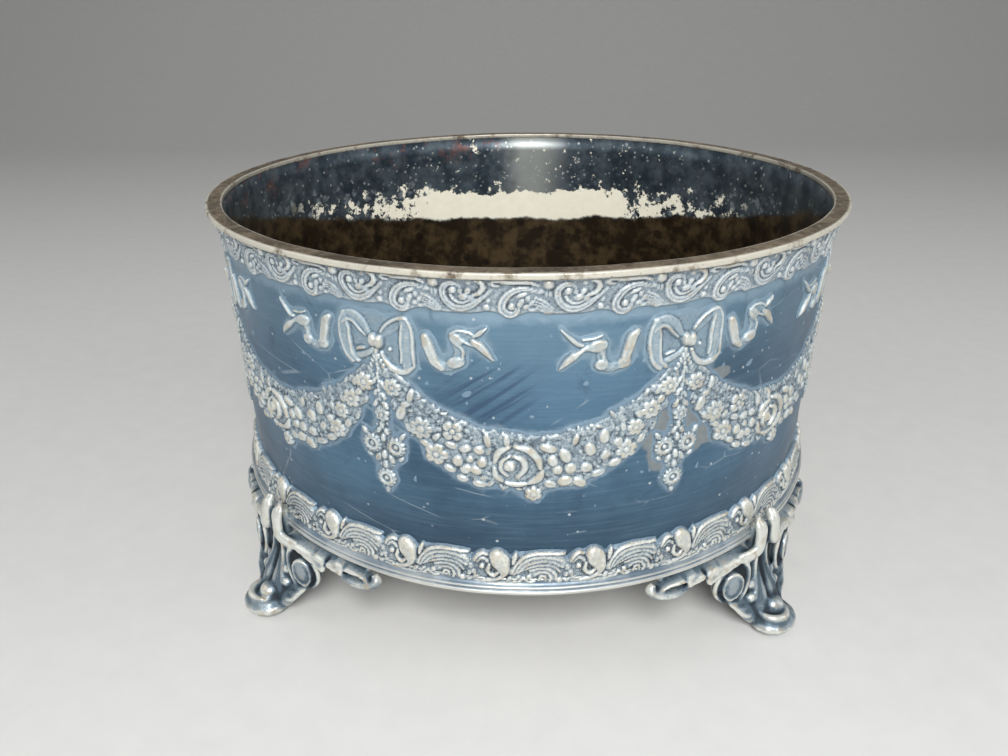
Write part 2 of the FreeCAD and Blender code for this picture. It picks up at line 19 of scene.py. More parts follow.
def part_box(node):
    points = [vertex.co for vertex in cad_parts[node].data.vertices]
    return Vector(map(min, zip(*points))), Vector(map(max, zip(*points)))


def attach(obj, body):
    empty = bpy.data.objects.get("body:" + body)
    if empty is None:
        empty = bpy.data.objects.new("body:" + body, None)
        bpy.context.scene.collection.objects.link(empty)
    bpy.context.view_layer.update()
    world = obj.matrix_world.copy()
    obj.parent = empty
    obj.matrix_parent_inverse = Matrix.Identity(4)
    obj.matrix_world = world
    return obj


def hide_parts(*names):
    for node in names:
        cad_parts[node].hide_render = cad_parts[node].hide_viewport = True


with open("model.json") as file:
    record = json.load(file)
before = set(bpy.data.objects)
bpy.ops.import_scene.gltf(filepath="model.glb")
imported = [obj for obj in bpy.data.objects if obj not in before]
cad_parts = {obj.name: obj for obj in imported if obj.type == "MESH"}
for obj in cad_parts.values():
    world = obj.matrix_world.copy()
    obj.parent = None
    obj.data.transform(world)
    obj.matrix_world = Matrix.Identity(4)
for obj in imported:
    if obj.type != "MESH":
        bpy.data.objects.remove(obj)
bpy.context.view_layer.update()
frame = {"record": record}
MM = 0.001
TINY = 1e-9  # keeps a division safe
FAR = 99.0  # farther than any line is from a place, in half widths or millimetres

# %% Sizes read from the frame, in millimetres
def box_mm(node):
    """The lowest and highest corner of a node, in millimetres."""
    return [[value / MM for value in corner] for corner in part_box(node)]


rim_radius = box_mm("rim_ring")[1][0]
rim_low, rim_top = box_mm("rim_ring")[0][2], box_mm("rim_ring")[1][2]
wall_radius = box_mm("body_wall")[1][0]
wall_low = box_mm("body_wall")[0][2]
ring_low = box_mm("base_ring")[0][2]
upper_low = box_mm("upper_border")[0][2]
lower_top = box_mm("lower_border")[1][2]
plate_top = box_mm("bottom_plate")[1][2]
rim_width = 5.4
sheet = 1.0
inner_radius = wall_radius - sheet
knot_level = (box_mm("bow_1")[0][2] + box_mm("bow_1")[1][2]) / 2
print("rim", rim_radius, "top", rim_top, "wall", wall_radius, "knots", knot_level)

# %% [markdown]
# ## The camera
# The photograph was taken by hand, from in front and above. Its lens and its place were worked out once from the
# ellipses of the rim and the base, with the rim's radius as the unit, so here they are only written down. The camera
# is a little to one side, because the front swag isn't quite in line with it.

# %% Camera
PHOTO_WIDTH = 1008
focal_pixels = 757
camera_data = bpy.data.cameras.new("camera")
camera_data.sensor_width = 36
camera_data.lens = focal_pixels * camera_data.sensor_width / PHOTO_WIDTH
camera_data.clip_start = 0.01
camera = bpy.data.objects.new("camera", camera_data)
bpy.context.scene.collection.objects.link(camera)
bpy.context.scene.camera = camera

DISTANCE_SHARE, HEIGHT_SHARE = 2.5426, 0.5126
camera_distance = DISTANCE_SHARE * rim_radius
camera_height = rim_top + HEIGHT_SHARE * rim_radius
pitch, roll, yaw, side_step = (math.radians(angle) for angle in (26.196, -0.568, -1.699, -0.95))
right = Vector((math.cos(yaw), -math.sin(yaw), 0))
level = Vector((math.sin(yaw), math.cos(yaw), 0))
forward = level * math.cos(pitch) - Vector((0, 0, 1)) * math.sin(pitch)
up = level * math.sin(pitch) + Vector((0, 0, 1)) * math.cos(pitch)
camera_right = right * math.cos(roll) + up * math.sin(roll)
camera_up = up * math.cos(roll) - right * math.sin(roll)
axes = Matrix((camera_right, camera_up, -forward)).transposed().to_4x4()
place = Matrix.Translation(Vector((0, -camera_distance, camera_height)) * MM)
camera.matrix_world = Matrix.Rotation(side_step, 4, "Z") @ place @ axes
print("camera at", [round(value, 4) for value in camera.matrix_world.translation])

# %% [markdown]
# ## Pressing relief
# A die-stamped mount is a sheet of metal that only ever goes up and down, so it can be described by one height for
# each place on it. Modelling every petal by hand would take thousands of faces that never quite meet. Instead each
# mount starts as a flat rectangle of heights, and petals, beads and scrolls are raised in it one by one. Where two
# meet, the higher wins, with a small fillet between, as in a real die. At the end the rectangle is bent round the
# drum, and whatever stayed flat is cut away.

# %% The blank
BARE = -3.0
BURIED = -0.22


class Blank:
    """A rectangle of metal, in millimetres, that holds the height of its relief on an even grid."""

    def __init__(self, left, right, low, high, step, period=None):
        self.step, self.left, self.low, self.period = step, left, low, period
        columns = round((right - left) / step) + 1
        rows = round((high - low) / step) + 1
        self.across, self.up = np.meshgrid(np.linspace(left, right, columns), np.linspace(low, high, rows))
        self.height = np.full(self.across.shape, BARE)
        self.lift = np.zeros(self.across.shape)

    def window(self, place, reach):
        """The part of the grid within a reach of a place."""
        column = (place[0] - self.left) / self.step
        row = (place[1] - self.low) / self.step
        span = reach / self.step + 2
        columns = slice(max(0, int(column - span)), max(0, int(column + span) + 1))
        rows = slice(max(0, int(row - span)), max(0, int(row + span) + 1))
        return rows, columns

    def raise_to(self, area, height, fillet):
        """Raises the metal in an area to a height, with a fillet where it meets what is there."""
        height = height + self.lift[area]
        there = self.height[area]
        gap = np.clip(1 - np.abs(there - height) / fillet, 0, None)
        self.height[area] = np.maximum(there, height) + fillet * gap**2 / 4

    def places(self, place):
        """A place, and its copies one period to each side where the blank repeats."""
        if self.period is None:
            return [place]
        return [(place[0] + shift * self.period, place[1]) for shift in (-1, 0, 1)]


# %% Petals and beads
def petal(blank, place, half_length, half_width, turn=0, height=1.0, ground=0.5, crease=0.0, fillet=0.15, slope=3.0):
    """Raises one oval: a petal, a bud or, where it is round, a bead. A crease runs down its length."""
    turn = math.radians(turn)
    for centre in blank.places(place):
        area = blank.window(centre, max(half_length, half_width) * 1.8)
        across, along = blank.across[area] - centre[0], blank.up[area] - centre[1]
        if across.size == 0:
            continue
        lengthwise = across * math.cos(turn) + along * math.sin(turn)
        sideways = along * math.cos(turn) - across * math.sin(turn)
        reach = np.hypot(lengthwise / half_length, sideways / half_width)
        dome = height * np.sqrt(np.clip(1 - reach**3.4, 0, None))
        dome -= crease * np.exp(-((sideways / (0.3 * half_width)) ** 2)) * (reach < 1)
        flank = slope * np.clip(reach - 1, 0, None) * min(half_length, half_width)
        blank.raise_to(area, ground + dome - flank, fillet)


# %% Stems, scrolls and ribbons
def stroke(blank, points, widths, height=1.0, ground=0.4, dish=0.0, fillet=0.15, slope=3.0):
    """Raises a rib along a line of points, whose half width follows the widths given at even steps.

    A dish above zero lowers the middle of the rib and leaves its edges standing, as on a ribbon.
    """
    points = smooth_line(points)
    widths = np.interp(np.linspace(0, 1, len(points)), np.linspace(0, 1, len(widths)), widths)
    for shift in [0] if blank.period is None else [-blank.period, 0, blank.period]:
        line = points + np.array([shift, 0])
        middle = (line.min(axis=0) + line.max(axis=0)) / 2
        area = blank.window(middle, np.ptp(line, axis=0).max() / 2 + 2 * widths.max() + 1)
        across, along = blank.across[area], blank.up[area]
        if across.size == 0:
            continue
        nearest = np.full(across.shape, FAR)
        width_there = np.full(across.shape, widths[0])
        for start, stop, wide_start, wide_stop in zip(line, line[1:], widths, widths[1:]):
            run = stop - start
            share = ((across - start[0]) * run[0] + (along - start[1]) * run[1]) / max(run @ run, TINY)
            share = np.clip(share, 0, 1)
            distance = np.hypot(across - start[0] - share * run[0], along - start[1] - share * run[1])
            wide = wide_start + (wide_stop - wide_start) * share
            closer = distance / wide < nearest
            nearest = np.where(closer, distance / wide, nearest)
            width_there = np.where(closer, wide, width_there)
        rib = height * np.sqrt(np.clip(1 - nearest**3.2, 0, None)) * np.minimum(width_there / widths.max() + 0.35, 1)
        rib -= dish * np.exp(-((nearest / 0.55) ** 2))
        flank = slope * np.clip(nearest - 1, 0, None) * width_there
        blank.raise_to(area, ground + rib - flank, fillet)


def smooth_line(points, per_span=6):
    """A smooth line through a few points, by the Catmull-Rom rule."""
    points = np.array(points, dtype=float)
    if len(points) < 3:
        return points
    padded = np.vstack([2 * points[0] - points[1], points, 2 * points[-1] - points[-2]])
    line = []
    for i in range(len(points) - 1):
        a, b, c, d = padded[i : i + 4]
        for t in np.arange(per_span) / per_span:
            bent = (2 * a - 5 * b + 4 * c - d) * t**2 + (3 * b - a - 3 * c + d) * t**3
            line.append(0.5 * (2 * b + (c - a) * t + bent))
    return np.array([*line, points[-1]])


def arc_line(centre, radius, start, stop, end_radius=None):
    """Points of an arc or, where the radius changes, of a spiral. Angles are in degrees."""
    count = max(4, int(abs(stop - start) / 30) + 2)
    angles = np.radians(np.linspace(start, stop, count))
    radii = np.linspace(radius, radius if end_radius is None else end_radius, count)
    return [(centre[0] + r * math.cos(a), centre[1] + r * math.sin(a)) for r, a in zip(radii, angles)]


# %% Small leaves that fill a ground
def scatter_leaves(blank, seed, count, places, size=0.9, ground=0.3, heights=(0.15, 0.5)):
    """Raises many small leaves at random turns and heights, where a function says that a place is good."""
    chance = np.random.default_rng(seed)
    low, high = blank.up[0, 0], blank.up[-1, 0]
    left, right = blank.across[0, 0], blank.across[0, -1]
    made = 0
    for _ in range(count * 20):
        place = (chance.uniform(left, right), chance.uniform(low, high))
        if made == count:
            break
        if not places(*place):
            continue
        made += 1
        length = size * chance.uniform(0.8, 1.7)
        petal(blank, place, length, length * chance.uniform(0.38, 0.6), chance.uniform(0, 180),
              chance.uniform(*heights), ground, 0.12 * size, 0.08)


# %% Flowers
def flower(blank, place, petals, radius, height=0.9, ground=0.6, turn=0, heart=0.3, crease=0.25):
    """Raises a flower of even petals round a heart, whose size is a share of the flower's radius."""
    half_width = min(radius * 0.48, radius * 0.72 * math.sin(math.pi / petals))
    for i in range(petals):
        angle = turn + 360 * i / petals
        centre = (place[0] + 0.6 * radius * math.cos(math.radians(angle)),
                  place[1] + 0.6 * radius * math.sin(math.radians(angle)))
        petal(blank, centre, radius * 0.42, half_width, angle, height, ground, crease)
    petal(blank, place, radius * heart, radius * heart, 0, height * 0.9, ground + 0.25)


# %% [markdown]
# ## From heights to metal
# The finished blank is softened a little, because old dies and years of polishing leave no sharp corner, and a fine
# tremble is added, because hand work is never perfectly smooth. Then each grid point is carried to its place on the
# drum. The back lies just inside the drum's surface, so the mount looks soldered on, and front and back are joined
# along their border into one closed shell. Nobody sees the back, so it gets far larger faces.

# %% Softening and roughening a grid
rng = np.random.default_rng(7)


def soften(field, passes):
    """Blurs a grid of values a little, once for each pass."""
    for _ in range(passes):
        padded = np.pad(field, 1, mode="edge")
        field = (padded[:-2, 1:-1] + padded[2:, 1:-1] + padded[1:-1, :-2] + padded[1:-1, 2:] + 4 * field) / 8
    return field


def tremble(shape, size, coarse):
    """Smooth random heights on a grid, whose bumps are some grid steps wide."""
    rough = rng.standard_normal((shape[0] // coarse + 3, shape[1] // coarse + 3))
    rows = np.linspace(0, rough.shape[0] - 1.001, shape[0])
    columns = np.linspace(0, rough.shape[1] - 1.001, shape[1])
    r, c = rows.astype(int), columns.astype(int)
    fr, fc = (rows - r)[:, None], (columns - c)[None, :]
    top = rough[r][:, c] * (1 - fc) + rough[r][:, c + 1] * fc
    low = rough[r + 1][:, c] * (1 - fc) + rough[r + 1][:, c + 1] * fc
    return size * (top * (1 - fr) + low * fr)

# %% Places on the drum, and its slight unevenness
def on_drum(across, level, height):
    """The place in space of a point given by its distance round the drum, its level and its height off the sheet."""
    angle = across / wall_radius
    reach = (wall_radius + height) * MM
    return np.stack([reach * np.sin(angle), -reach * np.cos(angle), level * MM], axis=-1)


def sway(corners):
    """Moves corners in or out with the drum's own slight unevenness, which all that is soldered to it follows."""
    angle = np.arctan2(corners[:, 0], -corners[:, 1])
    level = corners[:, 2] / MM
    push = (0.06 * np.sin(5 * angle + level / 19) + 0.05 * np.sin(11 * angle - level / 11 + 1)
            + 0.035 * np.sin(17 * angle + level / 8 + 2) + 0.02 * np.sin(31 * angle - level / 5))
    share = 1 + push * MM / np.hypot(corners[:, 0], corners[:, 1])
    return corners * np.stack([share, share, np.ones(len(share))], axis=1)

# %% A piece's corners, and the numbers that it keeps on them
def read_corners(piece, what="co"):
    """The places of a piece's corners, or their normals, as rows of three numbers."""
    values = np.empty(len(piece.data.vertices) * 3)
    piece.data.vertices.foreach_get(what, values)
    return values.reshape(-1, 3)


def write_corners(piece, corners):
    """Moves a piece's corners to new places."""
    piece.data.vertices.foreach_set("co", corners.ravel())
    piece.data.update()


def sway_piece(piece):
    """Gives a finished piece the drum's unevenness."""
    write_corners(piece, sway(read_corners(piece)))


def read_values(piece, name):
    """The numbers that a piece keeps on its corners under a name."""
    values = np.empty(len(piece.data.vertices), dtype=np.float32)
    piece.data.attributes[name].data.foreach_get("value", values)
    return values


def store(piece, name, values):
    """Keeps a number on each corner of a piece, under a name that the materials can read."""
    piece.data.attributes.new(name, "FLOAT", "POINT").data.foreach_set("value", values.astype(np.float32))


def new_object(name, corners, faces):
    """Makes a mesh object from arrays of corners and faces, smooth shaded."""
    mesh = bpy.data.meshes.new(name)
    mesh.from_pydata(corners.tolist() if hasattr(corners, "tolist") else corners, [],
                     faces.tolist() if hasattr(faces, "tolist") else faces)
    mesh.polygons.foreach_set("use_smooth", [True] * len(mesh.polygons))
    mesh.update()
    piece = bpy.data.objects.new(name, mesh)
    bpy.context.scene.collection.objects.link(piece)
    return piece

# %% Pressing a blank, with its solder
def solder(height, thickness=0.08, spread=30):
    """A thin ragged skirt of solder round what stands out of the sheet."""
    near = soften((height > 0.15).astype(float), spread)
    ragged = 0.13 + tremble(height.shape, 0.05, 4) + tremble(height.shape, 0.05, 10)
    return np.clip((near - ragged) * 2.0, BURIED * 2, thickness)


def press(blank, softness=1):
    """The raised grid of a blank, with what is to be kept of it: the cells that reach out of the sheet."""
    height = soften(np.maximum(blank.height, BURIED * 2), softness)
    height = height + tremble(height.shape, 0.035, 2) + tremble(height.shape, 0.05, 7)
    height = np.maximum(height, solder(height))
    kept = height > BURIED
    cells = kept[:-1, :-1] | kept[1:, :-1] | kept[:-1, 1:] | kept[1:, 1:]
    return height, cells

# %% Bending a blank round the drum
def back_faces(cells, number, block=4):
    """Faces for the hidden back of a mount: one for each whole block of cells, and single cells round the border."""
    rows, columns = cells.shape[0] // block, cells.shape[1] // block
    whole = np.zeros((rows + 2, columns + 2), dtype=bool)
    whole[1:-1, 1:-1] = cells[: rows * block, : columns * block].reshape(rows, block, columns, block).all(axis=(1, 3))
    single = cells.copy()
    faces = []
    for row, column in np.argwhere(whole[1:-1, 1:-1]):
        low, left = row * block, column * block
        single[low : low + block, left : left + block] = False
        sides = [([(low, left + i) for i in range(block)], whole[row, column + 1]),
                 ([(low + i, left + block) for i in range(block)], whole[row + 1, column + 2]),
                 ([(low + block, left + block - i) for i in range(block)], whole[row + 2, column + 1]),
                 ([(low + block - i, left) for i in range(block)], whole[row + 1, column])]
        face = [number[point] for points, beyond in sides for point in (points[:1] if beyond else points)]
        faces.append(face[::-1])
    a, b, c, d = number[:-1, :-1][single], number[:-1, 1:][single], number[1:, 1:][single], number[1:, :-1][single]
    return faces + np.stack([d, c, b, a], axis=1).tolist()


def bend(name, blank, height, cells, back=-0.15):
    """Bends the kept cells round the drum, and closes them with a back that lies in the sheet's surface."""
    number = np.arange(blank.across.size).reshape(blank.across.shape)
    front = np.stack([number[:-1, :-1][cells], number[:-1, 1:][cells], number[1:, 1:][cells], number[1:, :-1][cells]],
                     axis=1)
    edges = np.concatenate([front[:, [0, 1]], front[:, [1, 2]], front[:, [2, 3]], front[:, [3, 0]]]).tolist()
    keys = {tuple(edge) for edge in edges}
    total = blank.across.size
    sides = [[b, a, a + total, b + total] for a, b in edges if (b, a) not in keys]
    behind = back_faces(cells, number + total)
    faces = front.tolist() + behind + sides
    used = sorted({corner for face in faces for corner in face})
    place = {corner: index for index, corner in enumerate(used)}
    used = np.array(used)
    in_front = used < total
    across, level = blank.across.ravel()[used % total], blank.up.ravel()[used % total] + knot_level
    raised = height.ravel()[used % total]
    corners = on_drum(across, level, np.where(in_front, np.maximum(raised, back + 0.02), back))
    piece = new_object(name, corners, [[place[corner] for corner in face] for face in faces])
    store(piece, "proud", np.where(in_front, raised, 0.0))
    return piece


# %% [markdown]
# ## Where the metal is worn
# Polish and handling reach whatever stands proud and never the hollows, so colour follows shape. Each mesh is relaxed
# a few times, and every point asks how far its relaxed self has moved along its normal. Outwards means that it lay in
# a hollow, and inwards that it was a ridge. That number is kept on the mesh as an attribute that the materials read.

# %% Measuring hollows
def relax(corners, both, starts, neighbours, passes):
    """Moves each point towards the middle of its neighbours, a given number of times."""
    for _ in range(passes):
        total = np.add.reduceat(corners[both[:, 1]], starts, axis=0)
        corners = 0.4 * corners + 0.6 * total / neighbours[:, None]
    return corners


def mark_hollows(piece, scales, proud=0.0, ground=1.0, shift=0.0):
    """Stores on each point of a piece how deep it lies: 0 on a ridge, 1 in a hollow, about 0.5 on even ground.

    Each scale has its passes, the depth in millimetres that counts as full, and its share. What stands further
    out than the ground height counts as a ridge too, by the proud share. The shift darkens the whole piece.
    """
    corners, normals = read_corners(piece), read_corners(piece, "normal")
    count = len(corners)
    edges = np.empty(len(piece.data.edges) * 2, dtype=np.int64)
    piece.data.edges.foreach_get("vertices", edges)
    edges = edges.reshape(-1, 2)
    both = np.concatenate([edges, edges[:, ::-1]])
    both = both[np.argsort(both[:, 0], kind="stable")]
    starts = np.searchsorted(both[:, 0], np.arange(count))
    neighbours = np.maximum(np.bincount(both[:, 0], minlength=count), 1)
    depth = np.full(count, 0.5 + shift)
    for passes, full, share in scales:
        rise = ((relax(corners, both, starts, neighbours, passes) - corners) * normals).sum(axis=1) / MM
        depth += 0.5 * share * np.clip(rise / full, -1, 1)
    if proud:
        depth -= proud * np.clip(read_values(piece, "proud") / ground - 1, -1, 1)
    store(piece, "hollow", np.clip(depth, 0, 1))


# %% [markdown]
# ## The swag
# One swag is a crescent that hangs between two knots. A large rose sits a little left of its middle, with a pansy and
# smaller flowers running up to the left, and buds and rosettes to the right. Leaf tips stand along its upper edge, and
# one small flower hangs below. The places are in millimetres from the point between the knots.

# %% The swag's outline
swag_count = 8
swag_turn = 360 / swag_count
GRID = 0.31
RELIEF_SCALES = [(3, 0.14, 0.7), (14, 0.5, 0.35)]
# the crescent lies inside a circle round the point between the knots, and outside one round a point above it
LOWER_EDGE, UPPER_EDGE, UPPER_CENTRE = 43.2, 50.6, 25


def swag_blank():
    """A blank with the ground of the crescent, and with small leaves that fill it."""
    blank = Blank(-44.4, 44.4, -52, -2, GRID)
    across, level = blank.across, blank.up
    from_knots = np.hypot(across, level)
    from_above = np.hypot(across, level - UPPER_CENTRE)
    inside = np.minimum(LOWER_EDGE - from_knots, from_above - UPPER_EDGE)
    ground = np.clip(inside, -2, 0.45) * 1.1
    ground = np.where(level > -8, BARE, ground)
    blank.height = np.maximum(blank.height, ground)

    def on_crescent(across, level):
        from_knots, from_above = math.hypot(across, level), math.hypot(across, level - UPPER_CENTRE)
        return level < -9 and from_knots < LOWER_EDGE + 0.4 and from_above > UPPER_EDGE + 0.3

    scatter_leaves(blank, 11, 900, on_crescent, 0.95, 0.5, (0.15, 0.6))
    return blank


# %% The swag's flowers
SWAG_FLOWERS = [
    # across, level, petals, radius, height, turn, heart share
    (-39.0, -13.6, 6, 2.9, 0.8, 10, 0.26),
    (-30.9, -25.2, 7, 3.6, 0.8, 0, 0.36),
    (-21.7, -25.0, 4, 3.3, 0.9, 45, 0.26),
    (-26.8, -33.0, 5, 3.6, 0.9, 70, 0.26),
    (27.2, -31.6, 6, 3.3, 0.9, 20, 0.30),
    (29.6, -24.8, 6, 2.7, 0.9, 0, 0.34),
    (33.8, -19.8, 6, 3.1, 0.9, 12, 0.24),
    (39.0, -13.2, 7, 3.0, 1.0, 0, 0.30),
    (0.9, -44.6, 6, 2.6, 0.9, 30, 0.34),
]
SWAG_BUDS = [
    # across, level, half length, half width, turn, height
    (-36.8, -21.2, 2.6, 1.5, 68, 1.0), (-33.6, -15.4, 2.2, 1.0, 75, 0.8), (-35.2, -18.2, 1.6, 1.0, 20, 0.8),
    (-34.6, -25.6, 1.6, 1.0, 120, 0.7), (-30.0, -29.8, 1.7, 1.0, 150, 0.8), (-26.6, -27.4, 1.5, 0.9, 40, 0.7),
    (-22.4, -29.6, 2.0, 1.1, 160, 0.8), (-23.0, -37.4, 2.0, 1.1, 150, 0.8), (-19.4, -40.4, 1.9, 1.1, 165, 0.7),
    (-14.4, -41.8, 2.2, 1.1, 172, 0.7), (-12.0, -27.2, 2.4, 1.0, 100, 0.9), (-6.6, -27.0, 2.0, 0.9, 95, 0.9),
    (4.9, -29.4, 2.6, 1.4, 160, 1.1), (6.2, -33.6, 1.9, 1.5, 110, 1.1), (9.7, -32.0, 2.6, 1.6, 115, 1.2),
    (7.6, -36.6, 1.6, 1.5, 90, 1.0), (11.3, -36.2, 1.8, 1.8, 0, 1.0), (15.8, -36.4, 1.9, 1.6, 0, 0.9),
    (9.8, -40.4, 2.4, 1.7, 10, 1.0), (14.0, -41.2, 2.3, 1.5, 150, 0.9), (5.6, -41.4, 2.0, 1.3, 165, 0.8),
    (16.7, -30.4, 2.3, 1.6, 110, 1.1), (12.5, -27.0, 2.0, 0.9, 75, 0.8), (20.6, -26.6, 2.4, 1.5, 95, 1.1),
    (21.2, -32.6, 1.8, 1.3, 60, 0.8), (24.6, -28.8, 1.6, 1.2, 30, 0.9), (24.2, -35.6, 2.2, 1.3, 20, 0.8),
    (19.4, -38.6, 2.2, 1.2, 15, 0.7), (31.6, -28.6, 1.8, 1.1, 60, 0.7), (36.6, -17.0, 1.6, 1.0, 50, 0.8),
    (30.4, -20.8, 1.6, 0.9, 120, 0.7), (26.0, -24.2, 1.7, 0.9, 100, 0.7), (35.8, -13.8, 1.8, 0.9, 60, 0.7),
]


def swag_relief():
    """The whole relief of a swag."""
    blank = swag_blank()
    for across, level, petals, radius, height, turn, heart in SWAG_FLOWERS:
        flower(blank, (across, level), petals, radius, height, 0.8, turn, heart)
    for across, level, half_length, half_width, turn, height in SWAG_BUDS:
        petal(blank, (across, level), half_length, half_width, turn, height, 0.75, 0.15)
    for side in (-1, 1):
        for step in range(7):
            place = (side * (43.4 - 0.62 * step), -3.6 - 1.35 * step)
            petal(blank, place, 0.95, 0.62, 70 if side < 0 else 110, 0.6, 0.3)
    add_pansy(blank, (-17.0, -33.7))
    add_rose(blank, (-5.6, -35.2))
    return blank

# %% The pansy and the rose
def add_pansy(blank, place):
    """A large open flower of five round petals, with a small heart."""
    for across, level, half_length, half_width, turn in ((-1.3, 3.4, 1.9, 1.3, 20), (2.6, 3.1, 1.7, 1.4, 150),
                                                         (-3.6, -0.9, 1.9, 1.6, 100), (3.4, -0.8, 1.8, 1.4, 80),
                                                         (-1.4, -3.4, 1.9, 1.5, 35), (1.6, -3.5, 1.9, 1.5, 150)):
        petal(blank, (place[0] + across, place[1] + level), half_length, half_width, turn, 1.0, 0.7, 0.1)
    petal(blank, place, 1.1, 1.1, 0, 0.7, 0.8)


ROSE_PETALS = [
    # points round the rose's heart, half width, height
    ([(1.4, 6.4), (5.0, 5.4), (7.6, 2.4), (8.4, -0.6)], 1.2, 1.5),
    ([(9.0, -1.8), (7.8, -4.0), (5.4, -5.5)], 1.3, 1.3),
    ([(-4.4, 1.2), (-3.2, 4.4), (-0.4, 6.2)], 1.05, 1.4),
    ([(-4.5, -0.8), (-4.1, -3.4), (-2.4, -5.0)], 0.95, 1.2),
    ([(-1.4, -5.7), (1.8, -6.3), (4.6, -5.9)], 0.9, 1.1),
    ([(1.0, 3.3), (3.4, 2.2), (4.0, -0.8), (2.0, -3.5)], 1.0, 1.7),
    ([(-0.2, 3.3), (-2.4, 1.4), (-2.6, -1.2), (-0.8, -3.3)], 0.65, 1.5),
]


def add_rose(blank, place):
    """A full rose: a round heart, and rings of broad petals that overlap like low walls."""
    petal(blank, (place[0] + 2.0, place[1]), 6.6, 6.2, 0, 0.3, 0.6)
    for points, half_width, height in ROSE_PETALS:
        line = [(place[0] + across, place[1] + level) for across, level in points]
        stroke(blank, line, (half_width * 0.55, half_width, half_width, half_width * 0.6), height, 0.55, 0.1, 0.08, 4)
    petal(blank, (place[0] - 0.2, place[1]), 1.8, 1.8, 0, 1.2, 0.8)
    petal(blank, (place[0] + 0.5, place[1] - 0.3), 0.7, 1.0, 0, 0.6, 1.8, 0, 0.05)


# %% Spreading a piece round the drum
def spread_round(first, name, turns):
    """Copies a finished piece round the drum's axis, with each copy's place in its mesh."""
    pieces = []
    for number, turn in enumerate(turns, start=1):
        piece = bpy.data.objects.new(f"{name}_{number}", first.data.copy())
        piece.data.transform(Matrix.Rotation(math.radians(turn), 4, "Z"))
        sway_piece(piece)
        bpy.context.scene.collection.objects.link(piece)
        pieces.append(piece)
    bpy.data.objects.remove(first)
    return pieces


mount_turns = [swag_turn * i for i in range(swag_count)]
swag = swag_relief()
first_swag = bend("first_swag", swag, *press(swag))
mark_hollows(first_swag, RELIEF_SCALES, 0.3, 1.0)
swags = spread_round(first_swag, "swag", mount_turns)
print("swags:", len(swags), "of", len(swags[0].data.polygons), "faces")

# %% [markdown]
# ## The bows
# Each bow is a ribbon tied in a knot. Its two loops stand upright beside the knot, and its two ends wave away round the
# drum and finish in a fork. The die's two halves differ: the right end is shorter, and turns its face twice. Each part
# is a stroke along a smooth line: broad and low for the ribbon's face, thin and high for its edges.

